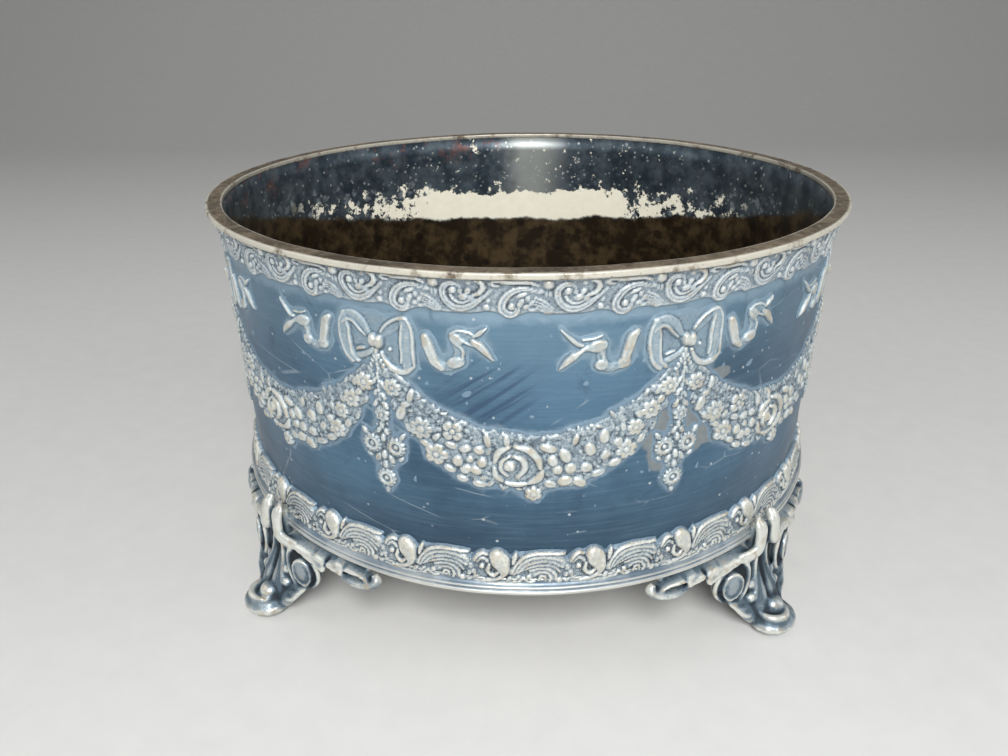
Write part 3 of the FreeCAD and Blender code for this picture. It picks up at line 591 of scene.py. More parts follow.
# %% A bow
BOW_STROKES = [
    # points from the knot, half widths, height, ground, dish
    # the left loop: its face, outer and inner edge, the band that comes over the top, and the one below
    ([(-9.6, 6.0), (-10.0, 1.0), (-9.5, -3.0), (-8.0, -6.6)], (1.3, 1.8, 1.8, 1.6), 0.45, 0.4, 0),
    ([(-9.4, 7.1), (-11.0, 4.6), (-11.5, 0.9), (-11.0, -2.6), (-9.9, -5.6), (-8.0, -7.4)],
     (0.3, 0.45, 0.5, 0.5, 0.65, 0.9), 0.7, 0.45, 0),
    ([(-9.0, 4.6), (-8.4, 2.6), (-8.3, -0.4), (-8.1, -2.8), (-7.7, -5.4), (-6.0, -7.2)],
     (0.3, 0.4, 0.5, 0.5, 0.55, 0.7), 0.65, 0.45, 0),
    ([(-10.2, 6.7), (-6.6, 6.6), (-3.8, 4.5), (-2.0, 1.8)], (0.6, 1.3, 1.3, 0.8), 0.4, 0.35, 0),
    ([(-10.4, 3.6), (-8.6, 4.9), (-6.6, 4.6), (-5.0, 2.9), (-3.0, 1.0)], (0.4, 0.55, 0.6, 0.5, 0.35), 0.65, 0.4, 0),
    ([(-7.2, -6.0), (-4.6, -5.2), (-1.8, -3.8), (-0.8, -2.4)], (0.8, 0.9, 0.8, 0.5), 0.45, 0.3, 0),
    ([(-6.3, -3.7), (-4.9, -3.1), (-3.6, -2.9)], (0.3, 0.5, 0.3), 0.7, 0.4, 0),
    # the right loop
    ([(8.8, 6.9), (9.7, 3.6), (9.7, -0.4), (9.6, -3.6), (9.3, -6.4)], (1.3, 1.8, 1.8, 1.8, 1.4), 0.45, 0.4, 0),
    ([(8.7, 6.0), (8.1, 2.8), (7.9, 0.0), (8.0, -2.9), (7.7, -5.8)], (0.3, 0.5, 0.55, 0.5, 0.3), 0.7, 0.45, 0),
    ([(9.9, 7.4), (11.1, 5.0), (11.4, 2.0), (11.3, -1.2), (11.5, -4.0), (11.5, -6.4)],
     (0.3, 0.42, 0.5, 0.5, 0.5, 0.35), 0.65, 0.45, 0),
    ([(1.9, 2.6), (3.4, 4.6), (5.8, 6.4), (8.2, 7.4), (9.9, 7.4)], (0.35, 0.45, 0.5, 0.5, 0.35), 0.7, 0.4, 0),
    ([(1.8, 1.4), (4.2, 3.2), (6.8, 5.2)], (0.7, 1.2, 1.2), 0.2, 0.3, 0),
    ([(1.8, -3.4), (2.9, -5.8), (4.7, -7.7), (7.3, -8.5), (9.6, -7.8), (11.2, -6.7)], (0.5, 0.7, 1.0, 1.0, 0.9, 0.5),
     0.8, 0.4, 0),
    # the right end, with its fork
    ([(15.2, 2.4), (16.6, -2.0), (18.8, -5.0), (21.6, -5.2), (24.0, -3.4), (24.3, -0.6), (23.6, 1.8), (25.0, 3.8),
      (28.2, 2.8)],
     (1.3, 1.6, 1.5, 1.4, 1.5, 1.3, 1.3, 1.2, 0.9), 0.3, 0.35, 0.1),
    ([(15.0, 2.7), (15.7, 0.6), (16.6, -1.9), (17.4, -4.0), (19.3, -5.9)], (1.2, 1.6, 1.5, 1.4, 0.9), 1.0, 0.45, 0.15),
    ([(18.6, -5.4), (20.6, -5.0), (22.4, -4.2)], (0.8, 0.9, 1.2), 0.35, 0.4, 0),
    ([(23.6, -1.8), (24.2, 0.0), (23.4, 1.6)], (0.9, 0.8, 0.9), 0.25, 0.35, 0),
    ([(25.3, -2.4), (25.5, -0.6), (24.9, 0.6), (23.6, 1.4)], (0.35, 0.42, 0.42, 0.4), 0.7, 0.4, 0),
    ([(24.8, 4.2), (26.8, 3.6), (28.4, 2.8)], (0.8, 0.9, 0.8), 0.2, 0.35, 0),
    ([(24.6, 3.3), (26.4, 2.0), (28.4, 1.2)], (0.4, 0.42, 0.4), 0.65, 0.4, 0),
    ([(22.0, 4.4), (23.9, 5.3), (26.8, 5.1), (28.4, 4.2)], (0.3, 0.42, 0.42, 0.4), 0.55, 0.35, 0),
    ([(28.0, 2.6), (29.8, 1.4), (31.4, -0.3), (33.5, -2.9)], (0.6, 1.2, 1.0, 0.2), 0.95, 0.45, 0.15),
    ([(28.4, 4.0), (30.0, 5.0), (31.9, 6.5)], (0.4, 0.75, 0.2), 0.8, 0.45, 0),
    # the left end, with its fork
    ([(-15.4, 3.6), (-17.0, 0.8), (-18.2, -3.4), (-20.6, -5.5), (-23.4, -5.2), (-24.6, -2.8), (-25.0, -0.2),
      (-27.2, 0.8), (-30.0, 0.0)],
     (1.1, 1.5, 1.5, 1.3, 1.5, 1.3, 1.4, 1.2, 0.8), 0.3, 0.35, 0.1),
    ([(-15.1, 4.3), (-16.4, 3.0), (-17.0, 0.8), (-17.7, -1.4), (-18.2, -3.2)], (0.8, 1.4, 1.5, 1.4, 1.3),
     1.0, 0.45, 0.15),
    ([(-20.0, -5.6), (-22.0, -5.6), (-23.6, -4.9)], (0.6, 0.8, 0.9), 0.4, 0.4, 0),
    ([(-24.2, -3.2), (-24.4, -1.6), (-25.0, -0.4)], (0.6, 0.6, 0.9), 0.6, 0.4, 0),
    ([(-27.6, 0.4), (-29.2, 0.2), (-30.6, -0.6)], (1.0, 0.75, 0.6), 0.5, 0.4, 0),
    ([(-30.0, -0.2), (-32.3, -1.8), (-34.1, -3.3), (-36.0, -5.5)], (0.5, 1.15, 0.9, 0.2), 1.0, 0.45, 0.1),
    ([(-29.8, 1.4), (-31.2, 1.7), (-33.2, 3.4), (-35.8, 5.9)], (0.4, 0.65, 0.65, 0.2), 0.85, 0.4, 0),
    ([(-30.0, 2.8), (-27.2, 3.0), (-24.7, 3.8)], (0.35, 0.42, 0.3), 0.5, 0.35, 0),
]
BOW_FACES = [
    # across, level, half length, half width, turn, height: the ribbon's broad turns, and the knot's two bumps
    (23.3, -3.9, 2.6, 1.7, 15, 0.75), (23.6, 2.9, 2.2, 1.6, 140, 0.7), (-18.4, -4.4, 2.1, 1.8, 20, 0.75),
    (-24.6, -4.6, 1.9, 1.7, 0, 0.75), (-25.8, 0.9, 2.8, 1.8, 12, 0.75), (4.4, -2.2, 0.55, 0.55, 0, 0.6),
    (-0.5, 0.1, 2.0, 1.35, 97, 1.6), (1.3, -0.3, 2.1, 1.3, 82, 1.5),
]

# %% The bow, pressed and spread round the drum
def bow_relief():
    """The whole relief of a bow, round its knot."""
    blank = Blank(-38.4, 35.4, -10.4, 9.4, 0.3)
    petal(blank, (0, 0), 12.4, 8.0, 0, 0.05, 0.15)
    for points, widths, height, ground, dish in BOW_STROKES:
        stroke(blank, points, widths, height, ground, dish, 0.08, 4)
    for across, level, half_length, half_width, turn, height in BOW_FACES:
        petal(blank, (across, level), half_length, half_width, turn, height, 0.5, 0.1, 0.1, 4)
    return blank


bow_turns = [swag_turn * (i + 0.5) for i in range(swag_count)]
bow = bow_relief()
first_bow = bend("first_bow", bow, *press(bow))
mark_hollows(first_bow, RELIEF_SCALES, 0.3, 0.8)
bows = spread_round(first_bow, "bow_ribbon", bow_turns)
print("bows:", len(bows), "of", len(bows[0].data.polygons), "faces")

# %% [markdown]
# ## The drops
# Under each knot hangs a fine string of beads. It carries bell-shaped buds, a small rosette, two ringed rosettes side
# by side, and one more at its end.

# %% A drop
def drop_relief():
    """The whole relief of a drop, below its knot."""
    blank = Blank(-9.5, 9.5, -52, -1.5, 0.3)
    petal(blank, (0, -34.5), 5.6, 4.6, 90, 0.1, 0.15)
    petal(blank, (0, -23.5), 4.6, 1.7, 90, 0.1, 0.15)

    def on_drop(across, level):
        return abs(across) < 1.6 + 4.4 * math.exp(-(((level + 34) / 4.6) ** 2)) and -48 < level < -16

    scatter_leaves(blank, 12, 110, on_drop, 0.7, 0.2)
    for step in range(12):
        petal(blank, (0.15 * math.sin(step * 2), -3.2 - 1.35 * step), 0.8, 0.62, 90, 0.6, 0.35)
    for level, side in ((-12.5, -1), (-13.4, 1), (-16.2, -1), (-17.2, 1), (-19.2, -1), (-19.8, 1)):
        petal(blank, (side * 1.25, level), 1.3, 0.65, 90 + side * 25, 0.7, 0.35, 0.1)
    flower(blank, (0.3, -23.0), 7, 2.5, 0.8, 0.5, 15, 0.3)
    for across, level, length, turn in ((-1.6, -19.9, 1.2, 60), (1.9, -20.2, 1.2, 120), (0, -26.6, 1.5, 90),
                                        (-1.2, -28.4, 1.3, 60), (1.3, -28.6, 1.3, 120), (0.1, -30.9, 1.6, 90)):
        petal(blank, (across, level), length, 0.75, turn, 0.8, 0.45, 0.15)
    for centre in ((-3.9, -33.4), (3.9, -33.4), (0, -44.6)):
        ringed_flower(blank, centre, 3.1)
    for side in (-1, 1):
        petal(blank, (side * 6.2, -29.6), 1.5, 0.8, 90 - side * 35, 0.7, 0.35, 0.1)
        petal(blank, (side * 2.2, -37.8), 1.7, 0.9, 90 + side * 30, 0.8, 0.4, 0.15)
        petal(blank, (side * 5.2, -37.4), 1.2, 0.7, 90 - side * 50, 0.6, 0.3, 0.1)
    petal(blank, (0, -36.6), 1.6, 1.0, 90, 0.9, 0.5, 0.1)
    petal(blank, (0, -40.0), 1.5, 0.9, 90, 0.8, 0.45, 0.1)
    petal(blank, (0, -48.8), 1.3, 0.8, 90, 0.7, 0.3, 0.1)
    return blank


def ringed_flower(blank, centre, radius):
    """A round flower: a frill of short petals, a deep ring, and a bead for its heart."""
    for step in range(13):
        angle = math.radians(360 / 13 * step)
        place = (centre[0] + 0.8 * radius * math.cos(angle), centre[1] + 0.8 * radius * math.sin(angle))
        petal(blank, place, 0.24 * radius, 0.21 * radius, math.degrees(angle), 0.55, 0.45)
    stroke(blank, arc_line(centre, 0.58 * radius, 0, 360), (0.2 * radius, 0.2 * radius), 0.75, 0.5)
    petal(blank, centre, 0.26 * radius, 0.26 * radius, 0, 0.6, 0.6)


drop = drop_relief()
first_drop = bend("first_drop", drop, *press(drop))
mark_hollows(first_drop, RELIEF_SCALES, 0.3, 0.9)
drops = spread_round(first_drop, "flower_drop", bow_turns)
print("drops:", len(drops), "of", len(drops[0].data.polygons), "faces")

# %% [markdown]
# ## The two rolled borders
# A border is a strip that a roller has marked with the same figure again and again, and then bent into a hoop. So one
# figure is pressed, on a blank whose left edge runs on into its right edge, and Geometry Nodes set that piece round
# the drum 24 times and weld the seams. The tree has its own inputs for the number of figures and for their turn.

# %% A strip with one figure
border_count = 24
figure_turn = 360 / border_count
figure_length = 2 * math.pi * wall_radius / border_count


def strip(name, blank, height):
    """One figure of a border as a strip: its relief in front, and one long plain quad behind for each column."""
    rows, columns = height.shape
    front = on_drum(blank.across, blank.up, height).reshape(-1, 3)
    low = on_drum(blank.across[0], blank.up[0], np.full(columns, -0.5))
    top = on_drum(blank.across[-1], blank.up[-1], np.full(columns, -0.5))
    number = np.arange(rows * columns).reshape(rows, columns)
    low_row = rows * columns + np.arange(columns)
    full = np.vstack([low_row, number, low_row + columns])
    faces = np.stack([full[:-1, :-1], full[:-1, 1:], full[1:, 1:], full[1:, :-1]], axis=-1).reshape(-1, 4)
    back = np.stack([low_row[1:], low_row[:-1], low_row[:-1] + columns, low_row[1:] + columns], axis=-1)
    piece = new_object(name, np.concatenate([front, low, top]), np.concatenate([faces, back]))
    store(piece, "proud", np.concatenate([(height - blank.lift).ravel(), np.zeros(2 * columns)]))
    return piece

# %% The hoop: a node tree that sets figures round the drum
def hoop_tree():
    """A node tree that sets a figure round the drum's axis and welds the seams."""
    tree = bpy.data.node_groups.new("figures round a drum", "GeometryNodeTree")
    face = tree.interface
    face.new_socket("Geometry", in_out="INPUT", socket_type="NodeSocketGeometry")
    face.new_socket("Figures", in_out="INPUT", socket_type="NodeSocketInt")
    face.new_socket("Turn", in_out="INPUT", socket_type="NodeSocketFloat")
    face.new_socket("Material", in_out="INPUT", socket_type="NodeSocketMaterial")
    face.new_socket("Geometry", in_out="OUTPUT", socket_type="NodeSocketGeometry")
    node = tree.nodes.new
    link = tree.links.new
    given, result = node("NodeGroupInput"), node("NodeGroupOutput")
    points = node("GeometryNodePoints")
    index = node("GeometryNodeInputIndex")
    divide, multiply, turn = (node("ShaderNodeMath") for _ in range(3))
    divide.operation, multiply.operation, turn.operation = "DIVIDE", "MULTIPLY", "ADD"
    divide.inputs[0].default_value = 2 * math.pi
    link(given.outputs["Figures"], points.inputs["Count"])
    link(given.outputs["Figures"], divide.inputs[1])
    link(index.outputs[0], multiply.inputs[0])
    link(divide.outputs[0], multiply.inputs[1])
    link(multiply.outputs[0], turn.inputs[0])
    link(given.outputs["Turn"], turn.inputs[1])
    spin = node("ShaderNodeCombineXYZ")
    link(turn.outputs[0], spin.inputs["Z"])
    instance = node("GeometryNodeInstanceOnPoints")
    link(points.outputs[0], instance.inputs["Points"])
    link(given.outputs["Geometry"], instance.inputs["Instance"])
    link(spin.outputs[0], instance.inputs["Rotation"])
    realize, weld = node("GeometryNodeRealizeInstances"), node("GeometryNodeMergeByDistance")
    finish = node("GeometryNodeSetMaterial")
    weld.inputs["Distance"].default_value = 0.02 * MM
    link(instance.outputs[0], realize.inputs[0])
    link(realize.outputs[0], weld.inputs[0])
    link(weld.outputs[0], finish.inputs[0])
    link(given.outputs["Material"], finish.inputs["Material"])
    link(finish.outputs[0], result.inputs[0])
    return tree


figures_round = hoop_tree()


def apply_tree(piece, tree, values):
    """Runs a node tree on a piece with the values given by name, and keeps the result as its plain mesh."""
    modifier = piece.modifiers.new(tree.name, "NODES")
    modifier.node_group = tree
    for item in tree.interface.items_tree:
        if item.name in values:
            modifier[item.identifier] = values[item.name]
    evaluated = piece.evaluated_get(bpy.context.evaluated_depsgraph_get())
    mesh = bpy.data.meshes.new_from_object(evaluated)
    piece.modifiers.remove(modifier)
    piece.data = mesh
    mesh.name = piece.name


# %% The upper border's figure
def border_blank(low, high, step=0.36):
    """A blank as long as one figure, whose two ends match."""
    columns = round(figure_length / step)
    return Blank(0, figure_length, low, high, figure_length / columns, figure_length)


UPPER_STROKES = [
    # points (along, depth below the rim), half widths, height, dish
    # the C scroll, the leaf that lies over it with its curl, and the wide scroll that cradles a flower
    ([(11.4, 3.9), (7.4, 2.9), (4.2, 3.8), (2.2, 6.0), (1.6, 8.3), (2.6, 9.9), (4.0, 10.3), (5.2, 9.6), (5.7, 8.4)],
     (0.3, 0.6, 0.8, 0.95, 1.05, 1.05, 0.95, 0.75, 0.45), 0.95, 0.6),
    ([(0.9, 2.2), (-0.4, 2.0), (-0.4, 0.9), (0.8, 0.8), (4.0, 1.2), (8.0, 1.1), (10.8, 2.0)],
     (0.3, 0.4, 0.4, 0.55, 0.6, 0.55, 0.3), 0.75, 0),
    ([(20.2, 2.7), (18.2, 1.8), (16.3, 2.5), (15.6, 4.4), (16.3, 6.8), (18.2, 8.4), (20.6, 8.7), (23.2, 7.6),
      (25.6, 5.6), (28.0, 3.4)],
     (0.3, 0.55, 0.7, 0.8, 0.85, 0.9, 0.9, 0.8, 0.55, 0.3), 0.95, 0.6),
    ([(17.7, 5.2), (18.6, 6.6), (20.4, 7.2), (22.4, 6.4)], (0.3, 0.4, 0.4, 0.3), 0.6, 0),
    ([(24.0, 1.0), (25.5, 1.3), (26.0, 2.8), (25.0, 4.3), (23.4, 4.9)], (0.3, 0.6, 0.75, 0.65, 0.3), 0.9, 0.15),
    # the fan of the leaf that lies under the boss
    ([(10.0, 5.4), (12.4, 6.5), (14.8, 8.9)], (0.18, 0.3, 0.2), 0.6, 0),
    ([(9.9, 6.3), (12.2, 7.4), (14.6, 9.6)], (0.18, 0.3, 0.2), 0.6, 0),
    ([(10.0, 7.2), (12.0, 8.2), (14.0, 10.0)], (0.18, 0.3, 0.2), 0.55, 0),
    ([(10.2, 8.2), (11.8, 9.0), (13.2, 10.2)], (0.18, 0.3, 0.2), 0.5, 0),
]
UPPER_LEAVES = [
    # along, depth, half length, half width, turn, height
    (4.1, 8.0, 0.95, 0.95, 0, 0.9), (6.7, 4.6, 1.7, 0.65, 25, 0.8), (6.4, 6.9, 1.6, 0.75, 65, 0.7),
    (8.2, 5.6, 1.0, 0.6, 100, 0.6), (9.2, 6.9, 1.1, 0.6, 60, 0.6), (7.8, 8.1, 1.0, 0.7, 20, 0.6),
    (9.2, 8.9, 0.9, 0.6, 0, 0.5), (13.3, 1.7, 1.4, 1.35, 0, 1.0), (12.8, 4.4, 1.1, 0.35, 90, 0.5),
    (13.7, 4.5, 1.1, 0.35, 90, 0.5), (18.2, 3.7, 1.0, 1.0, 0, 0.9), (21.0, 5.4, 1.4, 1.0, 20, 0.8),
    (22.8, 5.8, 1.2, 0.9, -25, 0.7), (22.0, 3.9, 1.1, 0.7, 60, 0.7), (20.2, 4.0, 0.8, 0.6, 110, 0.6),
    (26.7, 8.3, 0.9, 0.85, 0, 0.8), (27.2, 6.4, 0.8, 0.5, 60, 0.5), (11.6, 3.6, 0.9, 0.5, -30, 0.5),
    (22.4, 1.5, 0.8, 0.5, 0, 0.5), (28.0, 1.6, 0.8, 0.6, 20, 0.6),
]


def upper_figure():
    """A C scroll with leaves inside it, a round boss over a small fan, and a wide scroll that cradles a flower."""
    blank = border_blank(upper_low - 0.6, rim_low)
    top_share = np.clip((blank.up - (upper_low + 2)) / (rim_low - upper_low - 2), 0, 1)
    blank.lift = 0.25 + 1.6 * top_share
    start = 1.6
    beside = (blank.across - start - 4.0 + figure_length / 2) % figure_length - figure_length / 2
    edge = rim_low - 9.5 - 1.9 * np.exp(-((beside / 3.0) ** 2)) - 0.9 * np.exp(-(((np.abs(beside) - 12.5) / 5.5) ** 2))
    ground = np.clip(blank.up - edge, -2, 0.5)
    blank.height = np.where(ground > -1.2, ground + blank.lift * (ground > -0.3), BARE)
    scatter_leaves(blank, 13, 150, lambda across, level: level > rim_low - 9.0, 0.7, 0.3, (0.05, 0.25))
    for points, widths, height, dish in UPPER_STROKES:
        stroke(blank, [(start + along, rim_low - depth) for along, depth in points], widths, height, 0.45, dish, 0.1, 4)
    for along, depth, half_length, half_width, turn, height in UPPER_LEAVES:
        petal(blank, (start + along, rim_low - depth), half_length, half_width, turn, height, 0.4, 0.12, 0.1, 4)
    return blank

# %% The upper border, pressed and set round
def settle(blank):
    """The relief of a border's figure, softened, with matching ends."""
    height = np.maximum(blank.height, -0.4)
    wide = np.concatenate([height[:, -9:-1], height, height[:, 1:9]], axis=1)
    wide = soften(wide, 1)
    height = wide[:, 8:-8]
    ends = np.clip(np.minimum(blank.across, figure_length - blank.across) / 1.5, 0, 1)
    height = height + ends * (tremble(height.shape, 0.035, 2) + tremble(height.shape, 0.05, 7))
    height[:, 0] = height[:, -1] = (height[:, 0] + height[:, -1]) / 2
    return height


plain_metal = bpy.data.materials.new("plain metal")
upper = upper_figure()
upper_strip = strip("scroll_border", upper, settle(upper))
UPPER_TURN = -3.2 - 4.6 / figure_length * figure_turn
apply_tree(upper_strip, figures_round,
           {"Figures": border_count, "Turn": math.radians(UPPER_TURN), "Material": plain_metal})
mark_hollows(upper_strip, RELIEF_SCALES, 0.2, 0.9)
sway_piece(upper_strip)
print("upper border:", len(upper_strip.data.polygons), "faces")

# %% The lower border's figure
LOWER_STROKES = [
    # points (along from the club, up from the foot), half widths, height, dish
    # the club: a broad head whose tail curls down and away to the left
    ([(-0.2, 9.0), (0.6, 7.6), (1.7, 5.2), (1.4, 2.9), (-0.8, 1.5), (-4.4, 1.0)], (2.4, 2.9, 1.9, 1.0, 0.7, 0.4),
     1.35, 0.0),
    ([(-2.6, 6.4), (-3.0, 4.2), (-1.4, 2.8), (0.2, 4.0)], (0.4, 0.7, 0.7, 0.4), 1.0, 0.0),
    # the small leaf to the left of the club, and the one to its right
    ([(-7.2, 7.2), (-6.2, 9.0), (-4.6, 10.0), (-3.4, 9.4)], (0.3, 0.55, 0.55, 0.3), 0.8, 0),
    ([(-6.4, 7.0), (-5.0, 8.4), (-3.4, 7.8)], (0.3, 0.6, 0.4), 0.6, 0),
    ([(4.4, 6.6), (4.9, 8.6), (5.4, 10.0)], (0.35, 0.75, 0.4), 0.8, 0.1),
    # the shell: its body and upper edge, the long strands on it, and the coiled middle
    ([(4.6, 3.6), (7.4, 6.8), (11.8, 8.2), (16.0, 8.0), (19.0, 6.6)], (0.9, 1.9, 2.3, 2.4, 1.4), 0.5, 0),
    ([(10.4, 3.4), (12.8, 4.6), (15.4, 4.4), (16.4, 2.6)], (1.2, 1.8, 1.9, 1.4), 0.45, 0),
    ([(4.2, 3.6), (5.4, 6.6), (8.0, 9.2), (11.4, 10.2), (15.8, 10.2), (20.0, 9.8)], (0.3, 0.38, 0.42, 0.42, 0.38, 0.3),
     0.85, 0),
    ([(4.8, 3.2), (7.0, 6.9), (10.4, 8.8), (15.0, 9.0), (19.6, 7.6)], (0.25, 0.45, 0.5, 0.5, 0.3), 0.75, 0),
    ([(5.8, 3.6), (8.6, 6.4), (12.4, 7.7), (16.4, 7.4), (19.4, 5.6)], (0.25, 0.42, 0.45, 0.45, 0.3), 0.72, 0),
    ([(7.0, 4.4), (10.2, 5.9), (13.6, 6.5), (16.8, 5.8), (18.6, 3.8)], (0.25, 0.4, 0.42, 0.42, 0.3), 0.7, 0),
    ([(9.4, 4.6), (12.4, 5.4), (15.2, 5.0), (17.0, 3.4), (17.2, 1.4)], (0.3, 0.5, 0.5, 0.5, 0.35), 0.75, 0),
    ([(11.0, 3.2), (12.6, 4.2), (14.6, 3.9), (15.7, 2.4), (15.5, 0.9)], (0.3, 0.5, 0.5, 0.5, 0.35), 0.75, 0),
    ([(12.2, 1.4), (12.8, 2.8), (14.0, 2.6), (14.2, 1.2)], (0.35, 0.5, 0.5, 0.3), 0.8, 0),
    # the line along the foot
    ([(-7.0, 0.7), (-3.0, 0.3), (3.0, 0.4), (7.0, 0.7)], (0.3, 0.5, 0.5, 0.3), 0.5, 0),
    ([(6.2, 0.9), (7.6, 2.0), (9.2, 0.8), (10.8, 1.0)], (0.3, 0.5, 0.5, 0.4), 0.7, 0),
]
LOWER_LEAVES = [
    # along, up, half length, half width, turn, height
    (9.2, 2.5, 0.85, 0.85, 0, 1.0), (-4.8, 5.6, 0.9, 0.85, 0, 1.0), (18.2, 1.2, 1.1, 0.95, 0, 0.9),
    (20.4, 3.0, 1.1, 0.7, 60, 0.6), (20.8, 5.4, 1.2, 0.7, 100, 0.6), (20.4, 1.0, 1.0, 0.6, 0, 0.6),
    (3.9, 4.2, 1.3, 0.6, 75, 0.7), (3.4, 1.6, 1.2, 0.7, 40, 0.7), (-7.2, 3.4, 1.3, 0.7, 110, 0.6),
    (-6.6, 1.9, 1.1, 0.6, 20, 0.6), (6.0, 2.2, 0.9, 0.6, 60, 0.6), (-1.6, 8.6, 0.9, 0.5, 60, 0.9),
    (18.8, 8.4, 0.9, 0.5, -40, 0.5), (-3.2, 7.4, 0.8, 0.5, 90, 0.7),
]


def lower_figure():
    """A comma-shaped club, and beside it a shell whose strands sweep over a coiled middle."""
    blank = border_blank(ring_low + 3.0, lower_top + 0.8)
    level_share = np.clip((blank.up - ring_low - 3.6) / (lower_top - ring_low - 5), 0, 1)
    blank.lift = 2.0 - 1.6 * level_share
    start, foot = 5.0, ring_low + 3.6
    beside = (blank.across - start + figure_length / 2) % figure_length - figure_length / 2
    edge = foot + 9.7 + 1.3 * np.exp(-((beside / 2.8) ** 2)) - 1.6 * np.exp(-(((beside - 3.9) / 1.0) ** 2))
    edge += 0.6 * np.exp(-(((beside - 12.0) / 5.0) ** 2)) - 1.9 * np.exp(-(((beside + 8.4) / 1.4) ** 2))
    ground = np.clip(edge - blank.up, -2, 0.5)
    blank.height = np.where(ground > -1.2, ground + blank.lift * (ground > -0.3), BARE)
    scatter_leaves(blank, 15, 150, lambda across, level: foot < level < foot + 8.4, 0.7, 0.3, (0.05, 0.25))
    for points, widths, height, dish in LOWER_STROKES:
        stroke(blank, [(start + along, foot + up) for along, up in points], widths, height, 0.45, dish, 0.1, 4)
    for along, up, half_length, half_width, turn, height in LOWER_LEAVES:
        petal(blank, (start + along, foot + up), half_length, half_width, turn, height, 0.4, 0.12, 0.1, 4)
    return blank


lower = lower_figure()
lower_strip = strip("shell_border", lower, settle(lower))
LOWER_TURN = -4.9 - 5.0 / figure_length * figure_turn
apply_tree(lower_strip, figures_round,
           {"Figures": border_count, "Turn": math.radians(LOWER_TURN), "Material": plain_metal})
mark_hollows(lower_strip, RELIEF_SCALES, 0.2, 0.9)
sway_piece(lower_strip)
print("lower border:", len(lower_strip.data.polygons), "faces")

# %% [markdown]
# ## The drum, its rim and its base
# These were spun or bent from plain sheet and wire, so each is an outline carried once round the axis. They get many
# steps round, because a long reflection shows every flat, and the drum's own slight unevenness.

# %% Turned pieces
def turned(name, outline, steps):
    """Carries a closed outline of (radius, level) points, in millimetres, round the drum's axis."""
    outline = np.array(outline, dtype=float)
    angle = np.linspace(0, 2 * math.pi, steps, endpoint=False)[:, None]
    radius, level = outline[:, 0] * MM, outline[:, 1] * MM
    corners = np.stack([radius * np.sin(angle), -radius * np.cos(angle), level + 0 * angle], axis=-1).reshape(-1, 3)
    count = len(outline)
    number = np.arange(steps * count).reshape(steps, count)
    beyond = np.roll(number, -1, axis=0)
    number, beyond = (np.concatenate([ring, ring[:, :1]], axis=1) for ring in (number, beyond))
    faces = np.stack([number[:, :-1], beyond[:, :-1], beyond[:, 1:], number[:, 1:]], axis=-1).reshape(-1, 4)
    return new_object(name, corners, faces)


def rounded(outline, radius, steps=3):
    """Rounds the corners of a closed outline."""
    result = []
    for i, corner in enumerate(outline):
        before, after = np.array(outline[i - 1]), np.array(outline[(i + 1) % len(outline)])
        corner = np.array(corner, dtype=float)
        back, on = before - corner, after - corner
        cut = min(radius, 0.45 * np.hypot(*back), 0.45 * np.hypot(*on))
        start, stop = corner + back / np.hypot(*back) * cut, corner + on / np.hypot(*on) * cut
        for t in np.linspace(0, 1, steps + 1):
            result.append((1 - t) ** 2 * start + 2 * t * (1 - t) * corner + t**2 * stop)
    return result


def face_outwards(piece):
    """Turns all the faces of a closed piece outwards."""
    mesh = bmesh.new()
    mesh.from_mesh(piece.data)
    bmesh.ops.recalc_face_normals(mesh, faces=mesh.faces)
    mesh.to_mesh(piece.data)
    mesh.free()


# %% The sheet drum
levels = np.linspace(wall_low, rim_low, 62)
wall_outline = [(wall_radius, level) for level in levels] + [(inner_radius, level) for level in levels[::-4]]
drum = turned("sheet_drum", wall_outline, 720)
face_outwards(drum)
print("drum:", len(drum.data.polygons), "faces")

# %% Where solder has run on the drum
SOLDER_PATCHES = [
    # turn of the knot, across, level, half width, half height
    (22.5, -6.4, -27.5, 6.5, 7.0), (22.5, 6.2, -23.5, 6.5, 6.0), (22.5, 6.2, -31.0, 5.0, 7.0),
    (22.5, -4.4, -36.0, 4.6, 6.0), (22.5, 13.0, -33.5, 7.0, 3.2), (22.5, 13.5, -13.6, 5.0, 2.2),
    (-22.5, -1.0, -27.0, 2.6, 3.0), (67.5, 3.0, -30.0, 4.0, 5.0), (157.5, -4.0, -34.0, 4.5, 4.0),
    (-112.5, 4.0, -28.0, 4.0, 6.0), (-157.5, 0.0, -40.0, 5.0, 3.5),
]


def across_from(angle, turn):
    """Distances round the drum from a turn in degrees, the short way, for angles in radians."""
    return ((angle - math.radians(turn) + math.pi) % (2 * math.pi) - math.pi) * wall_radius


def solder_fields(corners):
    """How near each corner of the drum is to a mount, 1 under it and 0 some way off, and how deep it is in a spill."""
    angle = np.arctan2(corners[:, 0], -corners[:, 1])
    level = corners[:, 2] / MM - knot_level
    field = np.zeros(len(corners))
    for blank, turns in ((swag, mount_turns), (bow, bow_turns), (drop, bow_turns)):
        near = soften((blank.height > 0.15).astype(float), 110)
        rows = np.rint((level - blank.low) / blank.step).astype(int)
        for turn in turns:
            columns = np.rint((across_from(angle, turn) - blank.left) / blank.step).astype(int)
            on = (rows >= 0) & (rows < near.shape[0]) & (columns >= 0) & (columns < near.shape[1])
            field[on] = np.maximum(field[on], near[rows[on], columns[on]])
    spill = np.zeros(len(corners))
    for turn, shift, drop_level, half_width, half_height in SOLDER_PATCHES:
        reach = np.hypot((across_from(angle, turn) - shift) / half_width, (level - drop_level) / half_height)
        spill = np.maximum(spill, np.clip(1.5 - reach, 0, 1))
    outside = np.hypot(corners[:, 0], corners[:, 1]) / MM > wall_radius - 0.3
    return field * outside, spill * outside


